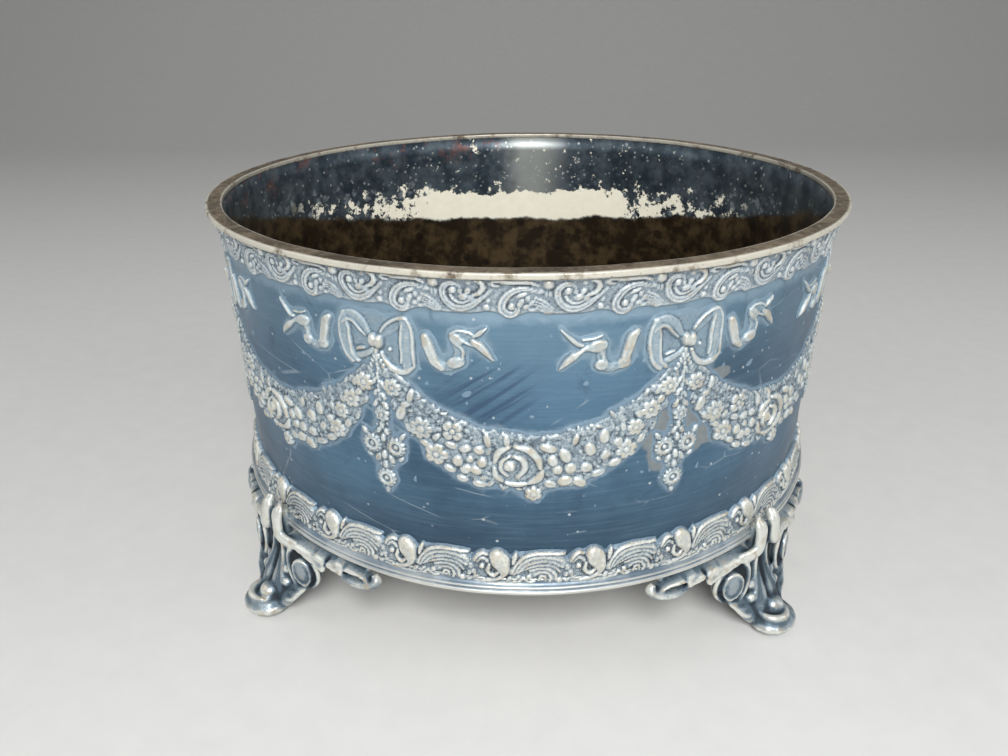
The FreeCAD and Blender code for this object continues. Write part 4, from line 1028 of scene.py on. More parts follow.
solder_near, solder_spill = solder_fields(read_corners(drum))
store(drum, "solder", solder_near)
store(drum, "spill", solder_spill)
sway_piece(drum)
print("solder on", round(100 * float((solder_near > 0.3).mean())), "% of the drum")

# %% The rim
PLAIN_SCALES = [(8, 0.25, 1.0)]
rim_inner = rim_radius - rim_width
rim_outline = rounded([(rim_inner, rim_low), (rim_radius, rim_low), (rim_radius, rim_top), (rim_inner, rim_top)], 0.5)
rim = turned("flat_rim", rim_outline, 384)
corners = sway(read_corners(rim))
around = np.arctan2(corners[:, 0], -corners[:, 1])
corners[:, 2] += MM * (0.07 * np.sin(3 * around) + 0.05 * np.sin(8 * around + 1) + 0.035 * np.sin(23 * around + 2))
write_corners(rim, corners)
face_outwards(rim)
mark_hollows(rim, PLAIN_SCALES)
print("rim:", len(rim.data.polygons), "faces")

# %% The base ring, with its bead, groove and cove
base_outline = [
    (103.0, ring_low), (114.0, ring_low), (114.8, ring_low + 0.35), (115.0, ring_low + 0.9), (114.7, ring_low + 1.5),
    (114.1, ring_low + 1.8), (114.3, ring_low + 2.1), (114.6, ring_low + 2.5), (114.3, ring_low + 2.9),
    (113.7, ring_low + 3.2), (113.2, ring_low + 3.7), (113.0, ring_low + 4.4), (113.1, ring_low + 5.2),
    (111.4, ring_low + 5.6), (wall_radius - 0.4, ring_low + 5.6), (wall_radius - 0.4, wall_low - 0.05),
    (103.0, wall_low - 0.05),
]
base = turned("moulded_base", rounded(base_outline, 0.25, 2), 384)
sway_piece(base)
face_outwards(base)
mark_hollows(base, PLAIN_SCALES)
print("base ring:", len(base.data.polygons), "faces")

# %% The bottom plate
plate_radius = box_mm("bottom_plate")[1][0]
plate_low = box_mm("bottom_plate")[0][2]
plate_outline = [(radius, plate_top + 0.25 * math.cos(radius / 23) - 0.25)
                 for radius in np.linspace(0.02, plate_radius, 60)]
plate_outline += [(plate_radius, plate_low), (0.02, plate_low)]
bottom = turned("bottom_sheet", plate_outline, 128)
face_outwards(bottom)
print("bottom:", len(bottom.data.polygons), "faces")

# %% [markdown]
# ## The feet
# Each foot is one casting. A knee of two scrolls stands outside the ring, and each scroll runs down and away under the
# ring as a wing of three fins with a rolled tip. Between them a fluted leaf falls to a broad toe, which curls round a
# ball, and a dished volute sits on each side. A casting has no seams, so its parts are modelled as overlapping swept
# tubes and balls, and a voxel remesh melts them into one skin. The grooves are carved in afterwards. Most places are
# given from the ring's underside, as (across, out, level), for one side, and the other side is its mirror image.

# %% Rods and eggs
def tube_faces(count, around):
    """The faces of a closed tube of some rings of points."""
    number = np.arange(count * around).reshape(count, around)
    beyond = np.roll(number, -1, axis=1)
    faces = np.stack([number[:-1], number[1:], beyond[1:], beyond[:-1]], axis=-1).reshape(-1, 4).tolist()
    return faces + [number[0].tolist(), number[-1][::-1].tolist()]


def sweep(points, widths, depths=None, around=14, per_span=5):
    """Corners and faces of a rod along a smooth line, whose cross section is an oval that changes along it."""
    line = smooth_line(points, per_span)
    stations = np.linspace(0, 1, len(line))
    widths = np.interp(stations, np.linspace(0, 1, len(widths)), widths)
    depths = widths if depths is None else np.interp(stations, np.linspace(0, 1, len(depths)), depths)
    run = np.gradient(line, axis=0)
    run /= np.linalg.norm(run, axis=1)[:, None]
    side = np.cross(run, np.array([0.0, 1.0, 0.0]))
    side /= np.maximum(np.linalg.norm(side, axis=1), TINY)[:, None]
    thick = np.cross(side, run)
    turn = np.linspace(0, 2 * math.pi, around, endpoint=False)[None, :, None]
    rings = line[:, None] + side[:, None] * np.cos(turn) * widths[:, None, None]
    rings = rings + thick[:, None] * np.sin(turn) * depths[:, None, None]
    return rings.reshape(-1, 3), tube_faces(len(line), around)


def egg(place, across, out, level, tilt=0, swing=0):
    """Corners and faces of an egg with three half lengths, tilted in its face and then swung about its height."""
    rings, steps, pole = 9, 14, 0.12
    polar = np.linspace(pole, math.pi - pole, rings)[:, None]
    turn = np.linspace(0, 2 * math.pi, steps, endpoint=False)[None, :]
    x, y = across * np.sin(polar) * np.cos(turn), out * np.sin(polar) * np.sin(turn)
    z = level * np.cos(polar) + 0 * turn
    tilt, swing = math.radians(tilt), math.radians(swing)
    x, z = x * math.cos(tilt) - z * math.sin(tilt), x * math.sin(tilt) + z * math.cos(tilt)
    x, y = x * math.cos(swing) + y * math.sin(swing), y * math.cos(swing) - x * math.sin(swing)
    corners = np.stack([x + place[0], y + place[1], z + place[2]], axis=-1).reshape(-1, 3)
    return corners, tube_faces(rings, steps)


# %% Places on a foot
pads = [mount["pos_m"] for mount in frame["record"]["mounts"] if mount["name"].startswith("foot_pad")]
toe_out = math.hypot(pads[0][0], pads[0][1]) / MM
foot_turns = [math.degrees(math.atan2(x, -y)) for x, y, _ in pads]
print("toes at", round(toe_out, 1), "turned", [round(turn, 1) for turn in foot_turns])


def hung(points, side=1):
    """Places given from the ring's underside, carried to one side of the foot and to their height over the floor."""
    return [(side * across, out, ring_low + level) for across, out, level in points]


def on_wing(side, points):
    """Places on a wing, each given by its angle round the drum from the foot's middle, its reach and its level."""
    return [(out * math.sin(math.radians(side * angle)), out * math.cos(math.radians(side * angle)), ring_low + level)
            for angle, out, level in points]


# %% The leg, and the toe with its ball
def leg_parts():
    """The leaf of the leg, from the knee down and out over the toe, and the root that holds the wings."""
    leaf = hung([(0, 115.4, 6), (0, 115.4, 0), (0, 114.9, -6), (0, 115.6, -11), (0, 117.6, -16), (0, 120.4, -21)])
    root = hung([(0, 109, -2.4), (0, 112, -3.2), (0, 114.4, -6)])
    return [sweep([*leaf, (0, toe_out - 3.0, 5.6)], (2.6, 3.6, 4.4, 5.2, 6.2, 7.2, 8.2),
                  (2.2, 2.8, 3.2, 3.4, 3.4, 3.2, 2.7), 24),
            sweep(root, (5.0, 5.2, 4.6), (2.6, 3.2, 3.4), 16)]


def toe_parts():
    """A rounded cup with a soft rim, and in it a crescent that curls round a ball."""
    turn = np.radians(np.linspace(-132, 74, 12))
    crescent = [(-0.5 + 5.3 * math.sin(a), toe_out - 0.5 + 5.1 * math.cos(a), 6.7 - 0.5 * math.cos(a)) for a in turn]
    return [egg((0, toe_out - 0.3, 3.2), 9.4, 8.2, 3.3), egg((0, toe_out - 0.4, 5.2), 7.6, 6.9, 1.7),
            sweep(crescent, (0.4, 1.1, 1.7, 1.6, 1.0, 0.35), (0.6, 0.9, 1.3, 1.2, 0.8, 0.5), 12, 4),
            egg((1.2, toe_out - 1.4, 7.2), 3.9, 3.9, 3.2)]


# %% The knee and the wing
KNEE = [(3.0, 115.9, 8.6), (3.5, 117.5, 8.4), (3.7, 118.7, 6.2), (3.9, 119.0, 2.6), (5.0, 119.2, -0.6),
        (8.0, 118.6, -2.0), (12.0, 117.0, -2.6)]
WING_ROOT = [(3, 112.6, -2.2), (10, 112.4, -2.4), (16, 111.8, -2.0), (20.5, 111.6, -1.6)]
HOOK = [(13.6, 114.6, -3.4), (16.0, 115.2, -5.8), (18.8, 115.6, -6.6), (21.4, 115.4, -5.6), (22.9, 115.0, -3.4),
        (22.2, 114.4, -1.6)]
FINS = [
    # start and stop angle, how far each hangs down there, out, fall, lean, swell
    (3.0, 12.9, 3.0, 6.4, 114.6, 0.4, 4.4, 1.9), (10.6, 16.5, 3.4, 4.8, 113.8, 0.9, 4.2, 2.1),
    (14.8, 22.0, 3.0, 3.9, 113.0, 2.9, 3.8, 1.9),
]


def fin(side, start, stop, hang_start, hang_stop, out, fall, lean, swell, thick=1.7):
    """A fin of a wing: it leans out from under the ring between two angles, and ends in a point that hangs down."""
    rings = []
    for t in np.linspace(0, 1, 16):
        top = -0.3 - fall * t**1.4
        low = -(hang_start + (hang_stop - hang_start) * t**2)
        bulge = swell * (0.5 + 0.5 * math.sin(math.pi * min(1, 0.2 + t)))
        front = [(out + lean * v + bulge * math.sin(math.pi * v**0.8), top + (low - top) * v)
                 for v in np.linspace(0, 1, 9)]
        back = [(reach - thick, level - 0.2) for reach, level in front[::-1]]
        rings.append(on_wing(side, [(start + (stop - start) * t, reach, level) for reach, level in front + back]))
    corners = np.array(rings)
    return corners.reshape(-1, 3), tube_faces(*corners.shape[:2])


def wing_parts(side):
    """A broad strap from the knee's rolled head, three fins on a root, and a hook that curls up behind them."""
    return [
        sweep(hung(KNEE, side), (2.0, 2.6, 2.8, 2.6, 2.6, 2.5, 2.0), (1.0, 1.3, 1.5, 1.5, 1.7, 1.5, 0.9), 18),
        *(fin(side, *sizes) for sizes in FINS),
        sweep(on_wing(side, WING_ROOT), (2.2, 2.0, 1.6, 1.0), (2.4, 2.2, 1.8, 1.0), 12),
        sweep(on_wing(side, HOOK), (0.6, 1.0, 1.4, 1.6, 1.5, 0.9), (1.0, 1.7, 2.2, 2.3, 1.9, 1.2), 14, 6),
    ]


# %% The volute, and the folds of leaf under it
ALMOND = [
    # the two sides of the almond of leaf round the volute
    [(12.2, 118.0, -2.4), (9.2, 118.6, -5.6), (8.2, 118.9, -10.6), (9.4, 119.2, -15.4), (12.2, 119.0, -18.6)],
    [(12.4, 117.8, -2.4), (17.6, 116.4, -4.0), (21.0, 115.2, -8.4), (21.0, 115.2, -13.4), (17.8, 116.6, -17.6)],
]
LEAF_EDGE = [(2.4, 117.6, -2), (2.9, 117.9, -7), (3.6, 118.7, -12), (4.8, 120.4, -16.4), (6.2, 122.0, -20.0)]


def volute_parts(side):
    """A shallow dish with a thin lip, which looks a little to its own side, in an almond of leaf."""
    swing = side * 20
    angle = math.radians(swing)
    dish_across, upward = np.array([math.cos(angle), -math.sin(angle), 0]), np.array([0, 0, 1])
    dish_out = np.array([math.sin(angle), math.cos(angle), 0])
    centre = np.array([side * 16.0, 118.3, ring_low - 11.0])
    lip = [centre + 3.9 * math.cos(a) * dish_across + 4.9 * math.sin(a) * upward + (0.2 - 0.3 * math.sin(a)) * dish_out
           for a in np.linspace(0, 2 * math.pi, 17)]
    return [egg(hung([(14.4, 115.4, -10.4)], side)[0], 6.9, 2.2, 8.4, side * 6, swing),
            egg(centre - 0.9 * dish_out, 4.3, 1.7, 5.2, 0, swing), sweep(lip, (0.45, 0.45), None, 10, 3),
            *(sweep(hung(line, side), (0.6, 0.9, 1.0, 0.9, 0.6), (0.7, 0.9, 0.9, 0.8, 0.6), 12) for line in ALMOND)]


def fold_parts(side):
    """Flesh from the volute to the toe, three folds of leaf on it, the leg's raised edge and two beads beside it."""
    flesh = hung([(13.2, 115.6, -14), (11.2, 117.6, -19), (8.8, 120.6, -24)], side)
    parts = [sweep([*flesh, (side * 7.4, 122.4, 4.6)], (4.2, 3.8, 3.0, 2.4), (1.8, 2.0, 2.2, 2.2), 14)]
    for step in range(3):
        level, out = -18.0 - 2.3 * step, 117.6 + 1.5 * step
        fold = [(18.0 - 1.7 * step, out - 0.9, level + 2.0), (14.8 - 1.3 * step, out + 0.7, level - 0.6),
                (11.0 - 0.8 * step, out + 1.4, level - 1.8), (8.6 - 0.4 * step, out + 1.4, level - 1.9)]
        parts.append(sweep(hung(fold, side), (0.6, 1.0, 1.1, 0.6), (0.8, 1.2, 1.3, 0.9), 12, 4))
    upper_bead, lower_bead = hung([(5.9, 118.9, -15.0), (7.2, 120.4, -19.4)], side)
    return parts + [sweep(hung(LEAF_EDGE, side), (0.7, 0.8, 0.8, 0.8, 0.5), None, 12),
                    egg(upper_bead, 1.6, 1.5, 1.8), egg(lower_bead, 1.7, 1.6, 1.8)]


# %% Melting the parts into one skin
TO_FRONT = np.array([1, -1, 1])


def cast_foot(name, voxel=0.5):
    """Melts a foot's parts, made at the drum's front, into one closed skin, and smooths it a little."""
    parts = leg_parts()
    for side in (-1, 1):
        parts += wing_parts(side) + volute_parts(side) + fold_parts(side)
    corners, faces = [], []
    for part_corners, part_faces in parts + toe_parts():
        offset = len(corners)
        corners.extend((part_corners * TO_FRONT * MM).tolist())
        faces.extend([[index + offset for index in face] for face in part_faces])
    piece = new_object(name, corners, faces)
    face_outwards(piece)
    melt = piece.modifiers.new("melt", "REMESH")
    melt.mode = "VOXEL"
    melt.voxel_size = voxel * MM
    soothe = piece.modifiers.new("soothe", "SMOOTH")
    soothe.factor, soothe.iterations = 0.5, 6
    mesh = bpy.data.meshes.new_from_object(piece.evaluated_get(bpy.context.evaluated_depsgraph_get()))
    piece.modifiers.clear()
    piece.data = mesh
    mesh.polygons.foreach_set("use_smooth", [True] * len(mesh.polygons))
    return piece


first_foot = cast_foot("first_foot")
print("parts melted into", len(first_foot.data.polygons), "faces")

# %% Grooves, lines rubbed pale or left dark, and painted highlight and shade on the wings
def near_line(places, points, half_width):
    """How near each of many places is to a smooth line: 1 on it, falling smoothly over the half width."""
    line = smooth_line(points)
    near = np.full(len(places), FAR)
    for start, stop in zip(line, line[1:]):
        run = stop - start
        share = np.clip(((places - start) @ run) / max(run @ run, TINY), 0, 1)
        near = np.minimum(near, np.linalg.norm(places - start - share[:, None] * run, axis=1))
    return np.exp(-((near / half_width) ** 2))


def carve(piece, lines):
    """Presses grooves into a piece. Each line has its points, its half width and its depth, in millimetres."""
    corners, push = read_corners(piece), 0
    places = corners / MM * TO_FRONT
    for points, half_width, depth in lines:
        push = np.maximum(push, depth * near_line(places, points, half_width))
    write_corners(piece, corners - read_corners(piece, "normal") * push[:, None] * MM)


def shift_hollow_along(piece, lines):
    """Shifts a piece's hollow attribute along lines: paler below zero, darker above."""
    depth, places = read_values(piece, "hollow"), read_corners(piece) / MM * TO_FRONT
    for points, half_width, shift in lines:
        depth += shift * near_line(places, points, half_width)
    piece.data.attributes["hollow"].data.foreach_set("value", np.clip(depth, 0, 1))


# %% The marks on a foot
FLUTES = [
    # points on one side, half width, depth
    ([(0, 118.6, 9), (0, 119.0, 5), (0, 118.2, 0), (0, 118.0, -6), (0, 118.9, -11), (0, 120.8, -16), (0, 123.4, -20)],
     1.1, 0.9),
    ([(1.3, 118.0, -6), (1.7, 118.8, -11), (2.6, 121.0, -16.5), (3.8, 123.4, -20.5)], 0.45, 0.12),
    ([(6.4, 118.4, -3.6), (6.2, 118.4, -8), (6.6, 118.8, -12)], 1.0, 0.5),
    ([(9.6, 117.6, -3.2), (11.4, 117.9, -4.6), (13.4, 118.0, -4.8)], 0.5, 0.4),
]
MIDDLE_RUBS = [
    # points, half width, shift: the flute, the leaf over the toe, the ball and the crescent
    (hung([(0, 118.4, 8), (0, 118.4, 2), (0, 117.8, -6), (0, 118.4, -11), (0, 120.4, -16)]), 1.5, 0.32),
    (hung([(0, 120.4, -18), (0, 122.6, -22)]), 3.0, -0.1),
    ([(1.4, toe_out - 1.8, 9), (1.6, toe_out - 1.8, 9), (1.8, toe_out - 1.8, 9)], 2.0, 0.12),
    ([(-4.8, toe_out - 2.6, 7.6), (-3.8, toe_out + 2.6, 7.4), (0, toe_out + 4.0, 7.2), (3.6, toe_out + 2.0, 7.4)],
     1.6, -0.3),
]
SIDE_RUBS = [
    # the knee's strap, the hollow beside the leg, the almond, the dish, the groove round it, and the almond's far side
    ([(3.4, 119.6, 7.4), (3.8, 120.2, 3), (5.0, 120.6, -1), (9.0, 120.4, -2.4), (14.0, 119.6, -3.0)], 2.6, -0.30),
    ([(6.4, 118.0, -4), (6.2, 118.0, -8), (6.8, 118.4, -12.6)], 1.6, 0.34),
    ([(13.0, 117.4, -4.8), (10.6, 117.6, -9.4), (11.4, 117.8, -15.4)], 1.5, 0.34),
    ([(16.0, 118.6, -8.6), (16.0, 118.8, -11), (15.8, 118.8, -13.6)], 2.6, -0.12),
    ([(16.0 + 5.4 * math.cos(a), 117.4, 6.6 * math.sin(a) - 11.0) for a in np.linspace(0, 2 * math.pi, 9)], 1.1, 0.34),
    ([(20.0, 117.0, -6.0), (20.6, 116.8, -12.0), (18.4, 117.2, -17.0)], 1.4, 0.16),
]
WING_LIGHT_AND_SHADE = [
    # a painted highlight along the fins' upper edge, and painted shade inside the hook
    ([(angle, 118.6, -2.8) for angle in (6, 10, 14, 18, 21)], 2.6, -0.30),
    ([(angle, out + 0.6, level - 1.0) for angle, out, level in HOOK[1:]], 2.2, 0.34),
]
FIN_GAPS = [[(angle, 115.6, -0.4), (angle, 117.8, -0.5 * fall), (angle + 0.4, 118.4, -fall)]
            for angle, fall in ((13.3, 6.6), (16.9, 5.0))]

grooves, hollow_shifts = [], [*MIDDLE_RUBS]
for side in (-1, 1):
    grooves += [(hung(points, side), *rest) for points, *rest in FLUTES]
    grooves += [(on_wing(side, points), 0.5, 0.6) for points in FIN_GAPS]
    hollow_shifts += [(hung(points, side), *rest) for points, *rest in SIDE_RUBS]
    # the wings get a painted highlight on their fins and painted shade in their hooks
    hollow_shifts += [(on_wing(side, points), *rest) for points, *rest in WING_LIGHT_AND_SHADE]
    hollow_shifts += [(on_wing(side, points), 0.9, 0.6) for points in FIN_GAPS]
carve(first_foot, grooves)
mark_hollows(first_foot, [(12, 0.3, 0.5), (60, 1.0, 0.65)], shift=0.05)
shift_hollow_along(first_foot, hollow_shifts)
low = min(corner.co.z for corner in first_foot.data.vertices)
first_foot.data.transform(Matrix.Translation((0, 0, -low)))
feet = spread_round(first_foot, "scroll_foot", foot_turns)
print("feet:", len(feet), "of", len(feet[0].data.polygons), "faces, set down by", round(low / MM, 2), "mm")

# %% [markdown]
# ## The finishes
# All the metal is one old plate that has gone its own way in different places, so every finish is mixed from the same
# few things: a dark film that stays in the hollows, a pale rubbed metal on the ridges, and blotches of a larger size.
# The recipe below only shortens the writing of nodes. Places come from Object coordinates, in metres.

# %% A short way to write nodes
def tint(red, green, blue):
    """A colour given as on a screen, from 0 to 255, in the linear numbers that Blender uses."""
    return (*[((value / 255 + 0.055) / 1.055) ** 2.4 for value in (red, green, blue)], 1)


class Recipe:
    """The nodes of one material, each added in a line of code."""

    def __init__(self, name, metallic=0.5):
        self.material = bpy.data.materials.new(name)
        self.material.use_nodes = True
        self.tree = self.material.node_tree
        self.tree.nodes.clear()
        self.shader = self.add("ShaderNodeBsdfPrincipled")
        self.shader.inputs["Metallic"].default_value = metallic
        self.tree.links.new(self.shader.outputs[0], self.add("ShaderNodeOutputMaterial").inputs[0])
        self.place = self.add("ShaderNodeTexCoord").outputs["Object"]

    def add(self, kind, **settings):
        """Adds a node with its settings."""
        node = self.tree.nodes.new(kind)
        for name, value in settings.items():
            setattr(node, name, value)
        return node

    def feed(self, socket, value):
        """Links a socket to a node before it, or sets its own number or colour."""
        if isinstance(value, bpy.types.NodeSocket):
            self.tree.links.new(value, socket)
        else:
            socket.default_value = value

    def fill(self, node, values):
        """Feeds a node's sockets in their order, and gives its result."""
        for socket, value in zip(node.inputs, values):
            self.feed(socket, value)
        return node.outputs[0]

    def math(self, operation, *values):
        """One step of arithmetic."""
        return self.fill(self.add("ShaderNodeMath", operation=operation), values)

    def times(self, first, *others):
        """The product of two or more numbers."""
        for other in others:
            first = self.math("MULTIPLY", first, other)
        return first

    def plus(self, first, *others):
        """The sum of two or more numbers."""
        for other in others:
            first = self.math("ADD", first, other)
        return first

    def between(self, value, low, high, start=0.0, stop=1.0):
        """Goes smoothly from one number to another as a value goes from low to high."""
        node = self.add("ShaderNodeMapRange", interpolation_type="SMOOTHSTEP")
        return self.fill(node, (value, low, high, start, stop))

    def near(self, value, middle, full, gone):
        """1 where a value is within one reach of a middle, and 0 past the other."""
        return self.between(self.math("ABSOLUTE", self.math("SUBTRACT", value, middle)), gone, full)

    def swing(self, field, share):
        """Turns a field of 0 to 1 into a push either way, for ragged edges."""
        return self.times(self.math("SUBTRACT", field, 0.5), share)

    def mix(self, share, first, second):
        """One colour where the share is 0, and the other where it is 1."""
        node = self.add("ShaderNodeMix", data_type="RGBA")
        self.feed(node.inputs["Factor"], share)
        self.feed(node.inputs[6], first)
        self.feed(node.inputs[7], second)
        return node.outputs[2]

    def over(self, under, upper, value, low, high, start=0.0, stop=1.0):
        """Lays one colour over another, more and more as a value goes from low to high."""
        return self.mix(self.between(value, low, high, start, stop), under, upper)

    def noise(self, scale, detail=3.0, roughness=0.55, place=None, distortion=0.0):
        """Soft random blotches of 0 to 1."""
        node = self.add("ShaderNodeTexNoise")
        self.feed(node.inputs["Vector"], self.place if place is None else place)
        for name, value in (("Scale", scale), ("Detail", detail), ("Roughness", roughness), ("Distortion", distortion)):
            node.inputs[name].default_value = value
        return node.outputs["Fac"]

    def cells(self, scale, place=None, feature="F1"):
        """The distance to the nearest of many scattered points, or to the edge between two of their cells."""
        node = self.add("ShaderNodeTexVoronoi", feature=feature)
        self.feed(node.inputs["Vector"], self.place if place is None else place)
        node.inputs["Scale"].default_value = scale
        return node.outputs["Distance"]

    def parts(self, vector):
        """The three parts of a vector."""
        node = self.add("ShaderNodeSeparateXYZ")
        self.feed(node.inputs[0], vector)
        return node.outputs

    def vector(self, *parts):
        """A vector from its three parts."""
        return self.fill(self.add("ShaderNodeCombineXYZ"), parts)

    def shaken(self, scale, rough, share):
        """Object coordinates at a scale, shaken by noise, so that a pattern made on them isn't regular."""
        shake = [self.swing(self.noise(rough * step, 2), 2 * share) for step in (1.0, 1.13, 1.27)]
        places = [self.plus(self.times(part, scale), push) for part, push in zip(self.parts(self.place), shake)]
        return self.vector(*places)

    def from_axis(self, x, y):
        """How far a place lies from the drum's axis."""
        return self.math("SQRT", self.plus(self.times(x, x), self.times(y, y)))

    def attribute(self, name):
        """A number that the mesh holds for each of its points."""
        return self.add("ShaderNodeAttribute", attribute_name=name).outputs["Fac"]

    def bump(self, height, distance, strength=1.0, under=None):
        """Fine unevenness that only the light shows, on another one where that is given."""
        node = self.add("ShaderNodeBump")
        self.feed(node.inputs["Height"], height)
        node.inputs["Distance"].default_value = distance
        node.inputs["Strength"].default_value = strength
        if under is not None:
            self.feed(node.inputs["Normal"], under)
        return node.outputs[0]

    def finish(self, colour, roughness, normal=None, metallic=None):
        """Feeds the shader, and gives the material."""
        for name, value in (("Base Color", colour), ("Roughness", roughness), ("Normal", normal),
                            ("Metallic", metallic)):
            if value is not None:
                self.feed(self.shader.inputs[name], value)
        return self.material


# %% Worn relief: the swags, bows, drops, borders and feet
def worn_relief(name, metallic, ridge, shoulder, flat, hollow, line, warm, raised=None, shine=0.0):
    """A finish whose colour follows the piece's hollow attribute, from the rubbed ridges to the dark hollows.

    The colours are those of the ridges, their shoulders, even ground, the hollows, their deepest lines and warm stains.
    """
    recipe = Recipe(name, metallic)
    fine = recipe.noise(1300, 3, 0.6)
    depth = recipe.attribute("hollow")
    for field, share in ((recipe.noise(150, 4, 0.6), 0.30), (fine, 0.24), (recipe.noise(38, 3, 0.55), 0.22)):
        depth = recipe.plus(depth, recipe.swing(field, share))
    colour = recipe.over(flat, hollow, depth, 0.52, 0.70)
    colour = recipe.over(colour, line, depth, 0.74, 0.92)
    colour = recipe.over(colour, shoulder, depth, 0.50, 0.34)
    colour = recipe.over(colour, ridge, depth, 0.32, 0.12)
    stain = recipe.between(recipe.noise(300, 2, 0.5), 0.52, 0.68, 0.0, 0.7)
    colour = recipe.mix(recipe.times(stain, recipe.between(depth, 0.5, 0.3)), colour, warm)
    if raised is not None:
        colour = worn_tops(recipe, colour, depth, ridge, line, *raised)
    roughness = recipe.between(depth, 0.25, 0.65, 0.40 - shine, 0.6)
    return recipe.finish(colour, roughness, recipe.bump(fine, 0.0002, 0.5))


def worn_tops(recipe, colour, depth, ridge, line, rise, dull, cream, skirt, chasing):
    """Adds fine chased lines with a thin painted highlight beside each, creamy tops where the metal stands out by the
    rise, and a thin skirt of solder.
    """
    proud = recipe.attribute("proud")
    top = recipe.times(recipe.between(proud, rise * 0.8, rise * 1.15), recipe.between(depth, 0.56, 0.40))
    edge = recipe.cells(1.0, recipe.shaken(700, 260, 0.5), "DISTANCE_TO_EDGE")
    chased = recipe.times(recipe.between(top, 0.6, 0.1, 0.25, 1.0), chasing)
    # painted highlight: a thin pale band beside each chased line
    lip = recipe.times(recipe.between(edge, 0.10, 0.17), recipe.between(edge, 0.30, 0.20))
    colour = recipe.mix(recipe.times(lip, recipe.times(chased, 0.7)), colour, ridge)
    colour = recipe.mix(recipe.times(recipe.between(edge, 0.11, 0.03), chased), colour, line)
    worn = recipe.between(recipe.noise(520, 3, 0.65), 0.40, 0.63, 0.12, 0.75)
    colour = recipe.mix(recipe.times(top, worn), colour, recipe.mix(recipe.noise(240, 2), dull, cream))
    ragged = recipe.plus(proud, recipe.swing(recipe.noise(700, 3, 0.65), 0.3))
    return recipe.over(colour, skirt, ragged, 0.20, 0.08, 0.0, 0.8)


# %% The five relief finishes
# Raised holds the rise, the dull and the creamy colour of the tops, the skirt's colour and the share of chased lines.
mount_finish = worn_relief(
    "rubbed mounts", 0.35, tint(208, 214, 213), tint(180, 190, 193), tint(148, 162, 170), tint(118, 134, 145),
    tint(74, 86, 95), tint(180, 168, 146), (1.3, tint(160, 151, 130), tint(216, 212, 196), tint(118, 144, 164), 0.32))
bow_finish = worn_relief(
    "rubbed bows", 0.35, tint(202, 208, 207), tint(176, 187, 190), tint(148, 165, 175), tint(128, 148, 160),
    tint(92, 110, 122), tint(176, 166, 146),
    (1.15, tint(158, 153, 138), tint(206, 202, 188), tint(126, 151, 168), 0.08))
border_finish = worn_relief(
    "rubbed borders", 0.35, tint(218, 222, 220), tint(192, 200, 203), tint(166, 179, 186), tint(128, 142, 152),
    tint(70, 78, 85), tint(184, 174, 156), (1.15, tint(150, 146, 128), tint(214, 211, 200), tint(128, 150, 168), 0.2))
shell_finish = worn_relief(
    "rubbed shells", 0.35, tint(219, 220, 212), tint(188, 194, 193), tint(152, 164, 170), tint(104, 119, 130),
    tint(44, 54, 63), tint(190, 178, 156), (1.15, tint(156, 150, 132), tint(216, 212, 198), tint(120, 142, 158), 0.3))
foot_finish = worn_relief(
    "rubbed castings", 0.5, tint(216, 218, 210), tint(148, 160, 166), tint(92, 109, 121), tint(52, 64, 73),
    tint(30, 38, 46), tint(184, 172, 150), None, 0.08)
print("relief finishes made")

# %% [markdown]
# ### The drum's two sides
# One sheet has two finishes. Outside it is a slate blue film, brushed round, and paler where hands and cloths rubbed it
# under the upper border, with a painted sheen that makes it paler near the top and painted shade that makes it darker
# low down. Solder that ran round the mounts left it pale, and grey where it was spilled. Inside, plants and water left
# a line of scale with dried drops above; below it the sheet is painted brown and dark as the shadow of the front rim,
# with dark mottled spots, and a painted reflection of the lamp runs down the back. Both are painted by the place on the
# sheet, and the distance from the axis says which side a point is on.

# %% The drum's outside
class SheetRecipe(Recipe):
    """A recipe that also knows where a point lies on the drum's sheet, and holds the marks of its brushing."""

    def __init__(self, name):
        super().__init__(name)
        self.x, self.y, self.z = self.parts(self.place)
        self.radius = self.from_axis(self.x, self.y)
        self.around = self.times(self.math("ARCTAN2", self.x, self.times(self.y, -1)), wall_radius * MM)
        self.below_rim = self.math("SUBTRACT", rim_top * MM, self.z)
        brushing = self.vector(self.times(self.x, 60), self.times(self.y, 60), self.times(self.z, 1400))
        self.brushed = self.noise(1.0, 3, 0.6, brushing)


